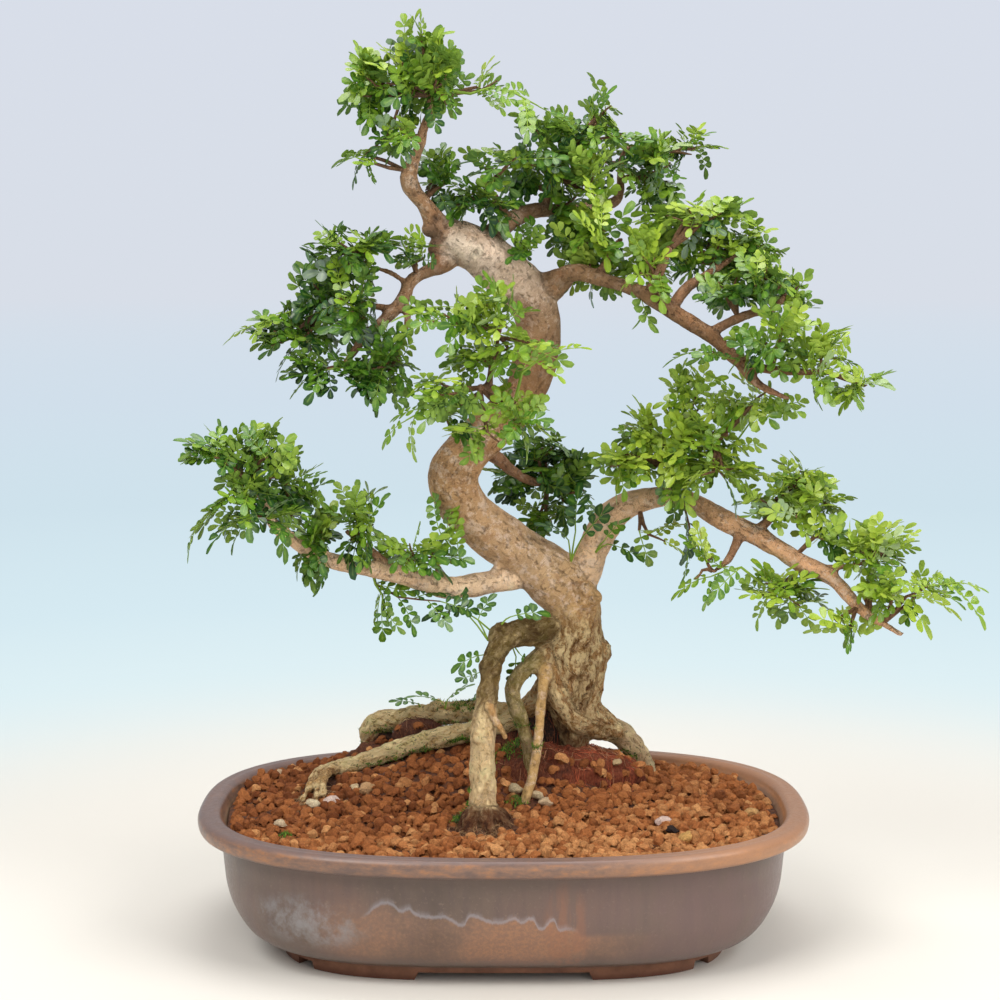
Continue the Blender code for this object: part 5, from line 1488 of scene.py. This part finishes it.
def glaze_material():
    made = Nodes("brown_grey_glaze", 0.34)
    spot = made.stretch(made.place(), (1.0, 1.0, 1.0), tuple(-MIDDLE))
    parts = made.add("ShaderNodeSeparateXYZ", {"Vector": spot})
    across, depth, height = parts["X"], parts["Y"], parts["Z"]
    zone = made.attribute("zone")
    front = made.range(depth, -0.02, -0.08)
    clouds = made.noise(made.stretch(spot, (1.0, 1.0, 0.7)), 13.0, 5.0, 0.62)
    drips = made.noise(made.stretch(spot, (1.0, 1.0, 0.10)), 150.0, 4.0, 0.62)
    grit = made.noise(spot, 420.0, 4.0, 0.7)
    specks = made.noise(spot, 1000.0, 2.0, 0.6)

    body = made.ramp(clouds, [
        (0.30, (84, 70, 62)), (0.46, (103, 85, 75)), (0.60, (107, 85, 77)), (0.78, (114, 86, 71))])
    body = made.wash(body, [
        (drips, 0.40, 0.70, 0.40, (88, 72, 70)),
        (grit, 0.56, 0.70, 0.30, (138, 116, 102)),
        (height, 0.026, 0.012, 0.55, (74, 56, 46)),
        # Painted shadow on the wall just under the lip.
        (height, 0.066, 0.078, 0.50, (92, 74, 66)),
    ])

    curve = made.tree.nodes.new("ShaderNodeFloatCurve")
    low_x, high_x = GLAZE_RUN[0][0], GLAZE_RUN[-1][0]
    curve.mapping.extend = "HORIZONTAL"
    points = curve.mapping.curves[0].points
    for index, (x, z) in enumerate(GLAZE_RUN):
        share = (x - low_x) / (high_x - low_x)
        level = (z - RUN_LOW) / RUN_SPAN
        if index == 0:
            points[0].location = (0.0, level)
        elif index == len(GLAZE_RUN) - 1:
            points[len(points) - 1].location = (1.0, level)
        else:
            points.new(share, level)
    curve.mapping.update()
    made.put(made.math("DIVIDE", made.minus(across, low_x), high_x - low_x), curve.inputs["Value"])
    line = made.plus(made.times(curve.outputs["Value"], RUN_SPAN), RUN_LOW)
    above = made.minus(height, line)
    jag = made.noise(made.stretch(spot, (1.0, 0.0, 0.0)), 330.0, 3.0, 0.7)
    above = made.plus(above, made.times(made.minus(jag, 0.5), 0.0036))
    above = made.plus(above, made.times(made.minus(grit, 0.5), 0.0016))
    ends = made.times(made.range(across, low_x, low_x + 0.010), made.range(across, high_x, high_x - 0.012))
    ends = made.times(ends, front)

    below = made.math("MAXIMUM", made.range(above, 0.0030, -0.0020), made.range(across, low_x + 0.016, low_x - 0.016))
    below = made.times(below, made.range(height, 0.012, 0.026))
    warm = spot_mask(made, across, height, (-0.016, 0.036), (0.090, 0.032), 0.95)
    warm = made.times(made.times(warm, front), below)
    warm = made.times(warm, made.range(clouds, 0.36, 0.56, 0.35, 0.95))
    warm = made.times(warm, made.range(grit, 0.40, 0.62, 0.55, 1.0))
    body = made.mix(warm, body, linear(150, 108, 80))
    streak = spot_mask(made, across, height, (0.040, 0.042), (0.014, 0.030), 0.6)
    streak = made.times(made.times(streak, front), made.range(drips, 0.42, 0.60, 0.0, 0.42))
    body = made.mix(streak, body, linear(148, 98, 70))
    haze = spot_mask(made, across, height, (-0.126, 0.042), (0.034, 0.016), 0.8)
    haze = made.times(haze, made.range(made.noise(spot, 46.0, 5.0, 0.7), 0.42, 0.66, 0.0, 0.60))
    body = made.mix(made.times(haze, front), body, linear(142, 142, 144))
    purple = made.times(made.range(across, 0.03, 0.12), made.range(clouds, 0.40, 0.60, 0.10, 0.55))
    body = made.mix(purple, body, linear(106, 84, 82))

    core = made.range(made.math("ABSOLUTE", above), 0.0021, 0.0002, 0.0, 0.52)
    fringe = made.times(made.range(above, -0.0004, 0.0006), made.range(above, 0.0045, 0.0006, 0.0, 0.30))
    fringe = made.times(fringe, made.range(drips, 0.40, 0.58))
    run = made.times(made.math("MAXIMUM", core, fringe), ends)
    body = made.mix(run, body, linear(146, 144, 150))

    rim_noise = made.noise(made.stretch(spot, (1.0, 1.0, 2.5)), 75.0, 5.0, 0.7)
    rim = made.ramp(rim_noise, [
        (0.36, (104, 83, 75)), (0.52, (130, 98, 80)), (0.68, (162, 111, 74))])
    rim = made.wash(rim, [
        (grit, 0.55, 0.68, 0.40, (120, 96, 88)),
        (height, 0.0885, 0.0908, 0.80, (112, 92, 88)),
        # Painted shade on the lip's underside.
        (height, 0.0822, 0.0800, 0.70, (96, 80, 78)),
        (across, 0.02, 0.17, 0.45, (204, 144, 96)),
    ])
    inside = made.ramp(made.noise(spot, 30.0, 4.0), [(0.3, (132, 104, 86)), (0.7, (164, 130, 106))])
    foot = made.ramp(made.noise(spot, 90.0, 4.0), [(0.3, (98, 63, 46)), (0.7, (132, 90, 68))])
    foot = made.wash(foot, [
        (height, 0.0050, 0.0010, 0.65, (84, 47, 32)),
        (height, 0.0070, 0.0095, 0.55, (98, 79, 69)),
        (across, 0.10, 0.17, 0.45, (158, 122, 101)),
    ])
    colour = made.mix(made.range(zone, 1.9, 1.6), body, inside)
    rim_zone = made.times(made.range(zone, 1.5, 1.9), made.range(zone, 2.6, 2.2))
    colour = made.mix(rim_zone, colour, rim)
    colour = made.mix(made.range(height, 0.0114, 0.0102), colour, foot)
    made.colour(made.mix(made.range(specks, 0.67, 0.74, 0.0, 0.45), colour, linear(66, 52, 46)))
    rough = made.plus(made.range(height, 0.0112, 0.0100, 0.33, 0.85), made.range(grit, 0.3, 0.7, -0.05, 0.07))
    made.set("Roughness", rough)
    made.bump(made.plus(grit, made.times(drips, 0.4)), 0.10, 0.0010)
    return made.material


# Soil

def soil_material():
    made = Nodes("deep_soil", 0.95)
    clumps = made.noise(made.place(), 300.0, 4.0)
    made.colour(made.ramp(clumps, [(0.3, (52, 28, 16)), (0.7, (104, 60, 34))]))
    made.bump(clumps, 1.0, 0.003)
    return made.material


def grain_material():
    made = Nodes("clay_grains", 0.95)
    tint = made.attribute("tint", "Color")
    dust = made.noise(made.place(), 620.0, 5.0, 0.7)
    pits = made.noise(made.place(), 1700.0, 3.0, 0.7)
    shade = made.plus(made.range(dust, 0.28, 0.72, 0.55, 0.95), made.range(pits, 0.35, 0.65, -0.10, 0.10))
    shade = made.ramp(shade, [(0.0, BLACK), (1.0, (1.25, 1.25, 1.25, 1.0))])
    made.colour(made.mix(1.0, tint, shade, "MULTIPLY"))
    made.set("Specular IOR Level", 0.2)
    made.bump(made.plus(dust, made.times(pits, 0.6)), 0.9, 0.0014)
    return made.material


def grain_kinds():
    """Angular lumps of clay: a ball cut by many flat faces, with its corners worn."""
    rng = random.Random(SEED + 9)
    made = []
    for _ in range(GRAIN_KINDS):
        places, faces = ball(2)
        cuts = [(rng_vector(rng), rng.uniform(0.64, 0.98)) for _ in range(GRAIN_CUTS)]
        verts = []
        for place in places:
            way = place.normalized()
            reach = 1.14
            for normal, depth in cuts:
                facing = normal.dot(way)
                if facing > 0.05:
                    reach = min(reach, depth / facing)
            reach *= 1.0 + 0.14 * noise.noise(way * 2.3 + normal * 9.0)
            verts.append(tuple(way * reach * 0.55))
        made.append((np.array(verts), faces))
    return made


def in_tray(x, y, margin):
    """Whether a place lies inside the wall, at least the margin away from it."""
    half = WALL_HALF_LENGTH - WALL_THICKNESS + 0.0035 - margin
    return (abs(x) / half) ** RIM_SQUARENESS + (abs(y) / (half * TRAY_WIDTH_TO_LENGTH)) ** RIM_SQUARENESS < 1.0


def grain_colour(rng, x, y):
    """Mostly orange-brown, darker to the left and back, with more pale tan grains at the front."""
    patch = noise.noise(Vector((x, y, 0.0)) / 0.035)
    light = 0.46 + 0.14 * math.tanh(x / 0.09) + 0.17 * math.tanh((-y - 0.055) / 0.05) + 0.22 * patch
    pale_share = 0.07 + 0.36 * max(0.0, min(1.0, (-y - 0.060) / 0.06)) * (1.0 if x > -0.06 else 0.3)
    light = max(0.0, min(0.85, light + rng.uniform(-0.26, 0.26)))
    if rng.random() < pale_share:
        light = max(light, rng.uniform(0.75, 1.0))
    dark, mid, pale = (screen_tone(colour) for colour in ((122, 68, 37), (170, 105, 59), (206, 148, 95)))
    tone = dark.lerp(mid, light * 2.0) if light < 0.5 else mid.lerp(pale, light * 2.0 - 1.0)
    return (*(tone * rng.uniform(0.88, 1.12)), 1.0)


def matted_share(x, y):
    """How much of the surface the matted roots take at a place, from 0 to 1."""
    most = 0.0
    for middle, half, _, covered, _ in MATTED:
        if not covered:
            far = ((x - middle[0]) / half[0]) ** 2 + ((y - middle[1]) / half[1]) ** 2
            most = max(most, 1.5 - 1.45 * far)
    return min(0.97, most)


def matted_roots():
    """Lumps of old root and soil, one of them a dark lump of painted shadow, and a tree of their surface with the
    soil's for what lies on them.
    """
    shape = Shape()
    for index, (middle, half, colour, _, _) in enumerate(MATTED):
        points, faces = ball(4)
        verts = []
        for point in points:
            place = Vector([point[k] * half[k] for k in range(3)])
            lump = noise.noise(place / 0.012 + Vector((index * 5.0, 0.0, 0.0)))
            lump += 0.6 * noise.noise(place / 0.005) + 0.5 * noise.noise(place / 0.0025)
            verts.append(tuple(place * (1.0 + 0.18 * lump) + Vector(middle) + MIDDLE))
        shape.add(np.array(verts), faces, 0, linear(*colour))
    made = Nodes("matted_roots", 0.95)
    threads = made.noise(made.stretch(made.place(), (1.0, 1.0, 0.4)), 700.0, 6.0, 0.75)
    tint = made.attribute("tint", "Color")
    colour = made.mix(made.range(threads, 0.50, 0.64, 0.0, 0.60), tint, linear(164, 100, 62))
    made.colour(made.mix(made.range(threads, 0.46, 0.36, 0.0, 0.75), colour, linear(36, 20, 14)))
    made.bump(threads, 1.0, 0.003)
    piece = shape.make("matted_roots", [made.material], sharp=180.0)
    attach(piece, "root")
    verts = [vert.co.copy() for vert in piece.data.vertices]
    faces = [tuple(face.vertices) for face in piece.data.polygons]
    start = len(verts)
    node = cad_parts["soil"]
    verts += [vert.co.copy() for vert in node.data.vertices]
    faces += [tuple(i + start for i in face.vertices) for face in node.data.polygons]
    return BVHTree.FromPolygons(verts, faces)


def grain_piece(kind, squash, turn, size, spot):
    """One grain in its place, without the faces that lie in the soil."""
    verts, faces = kind
    places = (verts * squash) @ turn.T * size
    corners = places[faces]
    normals = np.cross(corners[:, 1] - corners[:, 0], corners[:, 2] - corners[:, 0])
    normals /= np.linalg.norm(normals, axis=1)[:, None]
    kept = faces[normals[:, 2] > -0.35]
    used = np.unique(kept)
    order = np.zeros(len(places), np.int64)
    order[used] = np.arange(len(used))
    return places[used] + np.array(spot), order[kept]


def soil(wood_tree, ground):
    """Clay grains heaped all over the soil's solid, in two layers."""
    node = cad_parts["soil"]
    dress(node.data, soil_material())
    rng = random.Random(SEED + 1)
    kinds = grain_kinds()
    halves = (Shape(), Shape())
    rows = int(SOIL_WIDTH / (GRAIN_STEP * ROW_SPACING))
    columns = int(SOIL_LENGTH / GRAIN_STEP)
    for row in range(rows):
        for column in range(columns):
            for layer in range(2):
                if layer and rng.random() > UPPER_LAYER_SHARE:
                    continue
                x = (column - columns / 2 + 0.5 * (row % 2)) * GRAIN_STEP + rng.uniform(-GRAIN_SHIFT, GRAIN_SHIFT)
                y = (row - rows / 2) * GRAIN_STEP * ROW_SPACING + rng.uniform(-GRAIN_SHIFT, GRAIN_SHIFT)
                size = rng.triangular(*GRAIN_SIZES)
                if not in_tray(x, y, 0.5 * size):
                    continue
                hit = surface(ground, Vector((x, y, 0.0)) + MIDDLE, ABOVE_ALL)
                if hit is None or hit.z < SOIL_LOWEST:
                    continue
                lift = size * (-0.05 if layer == 0 else 0.42) + rng.uniform(-0.0008, 0.0008)
                spot = hit + Vector((0.0, 0.0, lift))
                near = wood_tree.find_nearest(spot)[3]
                if near < 0.50 * size or (layer and near < 0.010):
                    continue
                if matted_share(x, y) > rng.random():
                    continue
                turn = np.array(Matrix.Rotation(rng.uniform(0, FULL_TURN), 3, rng_vector(rng)))
                squash = np.array((rng.uniform(0.85, 1.15), rng.uniform(0.8, 1.0), rng.uniform(0.7, 0.95)))
                places, faces = grain_piece(kinds[rng.randrange(len(kinds))], squash, turn, size, spot)
                halves[0 if x < 0 else 1].add(places, faces, 0, grain_colour(rng, x, y))
    material = grain_material()
    for word, shape in zip(("left", "right"), halves):
        piece = shape.make("soil_grains_" + word, [material], sharp=24.0)
        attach(piece, "root")


def root_fibres(ground):
    """Red-brown fibres on the matted roots, and paler rootlets at the roots' ends."""
    rng = random.Random(SEED + 2)
    shape = Shape()
    for middle, half, colour, _, count in MATTED:
        for _ in range(count):
            angle = rng.uniform(0.0, 2.0 * math.pi)
            far = math.sqrt(rng.random()) * 1.10
            x = middle[0] + half[0] * far * math.cos(angle)
            y = middle[1] + half[1] * far * math.sin(angle)
            tone = (178, 128, 92) if rng.random() < 0.12 else [step * 1.2 for step in colour]
            fibre(rng, shape, ground, x, y, rng.uniform(0.005, 0.016), tone)
    for (x, y), spread_out, length, count, colour in ROOTLETS:
        for _ in range(count):
            fibre(
                rng, shape, ground, x + rng.gauss(0, spread_out), y + rng.gauss(0, spread_out),
                length * rng.uniform(0.6, 1.5), colour)
    material = Nodes("root_fibre", 0.85)
    soft = material.range(material.noise(material.place(), 400.0), 0.3, 0.7, 0.0, 0.4)
    material.colour(material.mix(soft, material.attribute("tint", "Color"), linear(70, 40, 28)))
    material.bump(material.noise(material.place(), 1500.0), 0.4, 0.0004)
    piece = shape.make("root_fibres", [material.material])
    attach(piece, "root")


def fibre(rng, shape, ground, x, y, length, colour):
    """One fine curved rootlet that lies on what is under it."""
    heading = rng.uniform(0.0, 2.0 * math.pi)
    points = []
    lift = rng.uniform(0.0, 0.0016)
    for step in range(5):
        share = step / 4.0
        place = Vector((x, y, 0.0)) + MIDDLE
        place += Vector((math.cos(heading), math.sin(heading), 0.0)) * length * (share - 0.5)
        heading += rng.uniform(-0.35, 0.35)
        hit = surface(ground, place, ABOVE_SOIL)
        if hit is None or hit.z < SOIL_LOWEST:
            return
        if points and abs(hit.z - points[-1].z) > 0.012:
            return
        points.append(hit + Vector((0.0, 0.0, 0.0008 + lift * math.sin(math.pi * share))))
    width = rng.uniform(0.00012, 0.00026)
    verts, faces = tube(points, (width * 0.6, width, width, width, width * 0.5), 3)
    tone = screen_tone(colour) * rng.uniform(0.6, 1.6)
    shape.add(verts, faces, 0, (*tone, 1.0))


def pebbles(ground):
    rng = random.Random(SEED + 3)
    shape = Shape()
    kinds = grain_kinds()
    for (x, y), size, colour in PEBBLES:
        hit = surface(ground, Vector((x, y, 0.0)) + MIDDLE, ABOVE_ALL)
        verts, faces = kinds[rng.randrange(len(kinds))]
        turn = np.array(Matrix.Rotation(rng.uniform(0, FULL_TURN), 3, "Z"))
        places = (verts * np.array((1.25, 1.0, 0.75))) @ turn.T * size
        places += np.array(hit + Vector((0.0, 0.0, 0.0024 + 0.20 * size)))
        shape.add(places, faces, 0, linear(*colour))
    piece = shape.make("pebbles", [grain_material()], sharp=40.0)
    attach(piece, "root")


def moss(wood_tree, ground):
    """Small cushions of moss: many short pointed blades on the soil and on shaded roots."""
    rng = random.Random(SEED + 4)
    shape = Shape()
    for place, spread_out, count in MOSS:
        for _ in range(count):
            spot = Vector(place) + MIDDLE + Vector((rng.gauss(0, spread_out), rng.gauss(0, spread_out), 0.0))
            up = UP
            if place[2] > 0.0:
                hit, normal, _, far = wood_tree.find_nearest(spot)
                if far > 0.02:
                    continue
                up = normal.lerp(up, 0.4).normalized()
            else:
                hit = surface(ground, spot, ABOVE_SOIL)
                if hit is None:
                    continue
                across, back = spot.x - MIDDLE.x - place[0], spot.y - MIDDLE.y - place[1]
                mound = math.exp(-(across ** 2 + back ** 2) / (2.0 * spread_out ** 2))
                hit = hit + Vector((0.0, 0.0, 0.0012 + 0.0032 * mound))
            lean = (up + rng_vector(rng) * 0.75).normalized()
            length = rng.uniform(0.0016, 0.0036)
            side = lean.orthogonal().normalized() * 0.0005
            side.rotate(Matrix.Rotation(rng.uniform(0, FULL_TURN), 3, lean))
            low = hit - lean * 0.0006
            corners = (low - side, low + side, low + lean.cross(side) * 0.8, low + lean * length)
            verts = np.array([tuple(corner) for corner in corners])
            tone = rng.random()
            shape.add(verts, [(0, 2, 1), (0, 1, 3), (1, 2, 3), (2, 0, 3)], 0, (tone, tone, tone, 1.0))
    material = Nodes("moss", 0.8)
    soft = material.range(material.noise(material.place(), 300.0), 0.3, 0.7, -0.25, 0.25)
    tone = material.plus(material.attribute("tint"), soft, clamp=True)
    material.colour(material.ramp(tone, [
        (0.0, (40, 62, 18)), (0.5, (76, 112, 28)), (1.0, (124, 158, 44))]))
    material.bump(material.noise(material.place(), 1200.0), 0.3, 0.0004)
    piece = shape.make("moss_tufts", [material.material])
    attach(piece, "root")


def small_nodes():
    """The drainage meshes and their wire clips keep their own solids."""
    plastic = Nodes("black_plastic", 0.55)
    grain = plastic.noise(plastic.place(), 1500.0, 2.0)
    plastic.colour(plastic.ramp(grain, [(0.3, (24, 24, 26)), (0.7, (40, 40, 42))]))
    plastic.bump(grain, 0.2, 0.0002)
    wire = Nodes("clip_wire", 0.4)
    drawn = wire.noise(wire.stretch(wire.place(), (1.0, 6.0, 6.0)), 800.0, 2.0)
    wire.colour(wire.ramp(drawn, [(0.3, (150, 146, 140)), (0.7, (188, 184, 176))]))
    wire.set("Metallic", 1.0)
    for word in ("left", "right"):
        for name, material in (("drainage_mesh_", plastic.material), ("mesh_clip_", wire.material)):
            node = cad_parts[name + word]
            dress(node.data, material)


# Stage

def backdrop():
    """A pale glow all round, far behind the tree, that meets the floor in the same colour."""
    work = bmesh.new()
    bmesh.ops.create_uvsphere(work, u_segments=48, v_segments=24, radius=BACKDROP_RADIUS)
    made = put_mesh("backdrop", work)
    paint = Nodes("pale_backdrop", 1.0)
    height = paint.range(paint.add("ShaderNodeSeparateXYZ", {"Vector": paint.place()})["Z"], 0.0, 4.0)
    paint.colour(BLACK)
    paint.set("Specular IOR Level", 0.0)
    paint.set("Emission Color", paint.ramp(height, [(0.0, (216, 222, 232)), (1.0, (217, 222, 235))]))
    paint.set("Emission Strength", 1.0)
    dress(made.data, paint.material)
    made.data.shade_smooth()
    made.visible_diffuse = False
    made.visible_glossy = False
    made.visible_shadow = False
    made.visible_transmission = False


def floor():
    """White paper under the tray that fades into the backdrop's pale blue."""
    work = bmesh.new()
    bmesh.ops.create_circle(work, cap_ends=True, segments=96, radius=FLOOR_RADIUS)
    made = put_mesh("floor", work)
    paper = Nodes("pale_floor", 0.9)
    far = paper.add("ShaderNodeVectorMath", {0: paper.place()}, operation="LENGTH")["Value"]
    glow = paper.range(far, 0.40, 1.00)
    paper.colour(paper.mix(glow, linear(228, 223, 215), BLACK))
    stops = [
        (0.035, (244, 246, 240)), (0.064, (227, 243, 246)), (0.115, (214, 234, 242)),
        (0.200, (207, 226, 236)), (0.375, (209, 223, 235)), (0.950, (216, 222, 232))]
    paper.set("Emission Color", paper.ramp(paper.math("DIVIDE", far, BACKDROP_RADIUS), stops))
    paper.set("Emission Strength", glow)
    paper.set("Specular IOR Level", 0.0)
    dress(made.data, paper.material)


def stage():
    """A plain pale floor under soft light, and the camera at the photograph's place."""
    floor()
    backdrop()
    world = bpy.data.worlds.new("soft_sky")
    bpy.context.scene.world = world
    world.use_nodes = True
    sky = world.node_tree.nodes["Background"]
    sky.inputs["Color"].default_value = linear(236, 240, 244)
    sky.inputs["Strength"].default_value = 0.50

    for name, place, size, power, tint in LIGHTS:
        lamp = bpy.data.lights.new(name, "AREA")
        lamp.shape = "SQUARE"
        lamp.size = size
        lamp.energy = power
        lamp.color = tint
        holder = put_object(name, lamp)
        holder.location = place
        holder.rotation_euler = (Vector((0.0, 0.0, 0.3)) - Vector(place)).to_track_quat("-Z", "Y").to_euler()

    data = bpy.data.cameras.new("camera")
    data.lens = CAMERA_LENS
    data.sensor_width = SENSOR
    data.clip_end = 50.0
    camera = put_object("camera", data)
    camera.location = CAMERA_PLACE + MIDDLE
    camera.rotation_euler = (math.pi / 2.0 - CAMERA_DIP, 0.0, 0.0)
    bpy.context.scene.camera = camera
    bpy.context.scene.view_settings.view_transform = "Standard"


def main():
    noise.seed_set(NOISE_SEED)
    stage()
    tray()
    tree = wood()
    wood_tree = BVHTree.FromObject(tree, bpy.context.evaluated_depsgraph_get())
    ground = matted_roots()
    soil(wood_tree, ground)
    pebbles(ground)
    root_fibres(ground)
    moss(wood_tree, ground)
    foliage(wood_tree)
    small_nodes()


main()
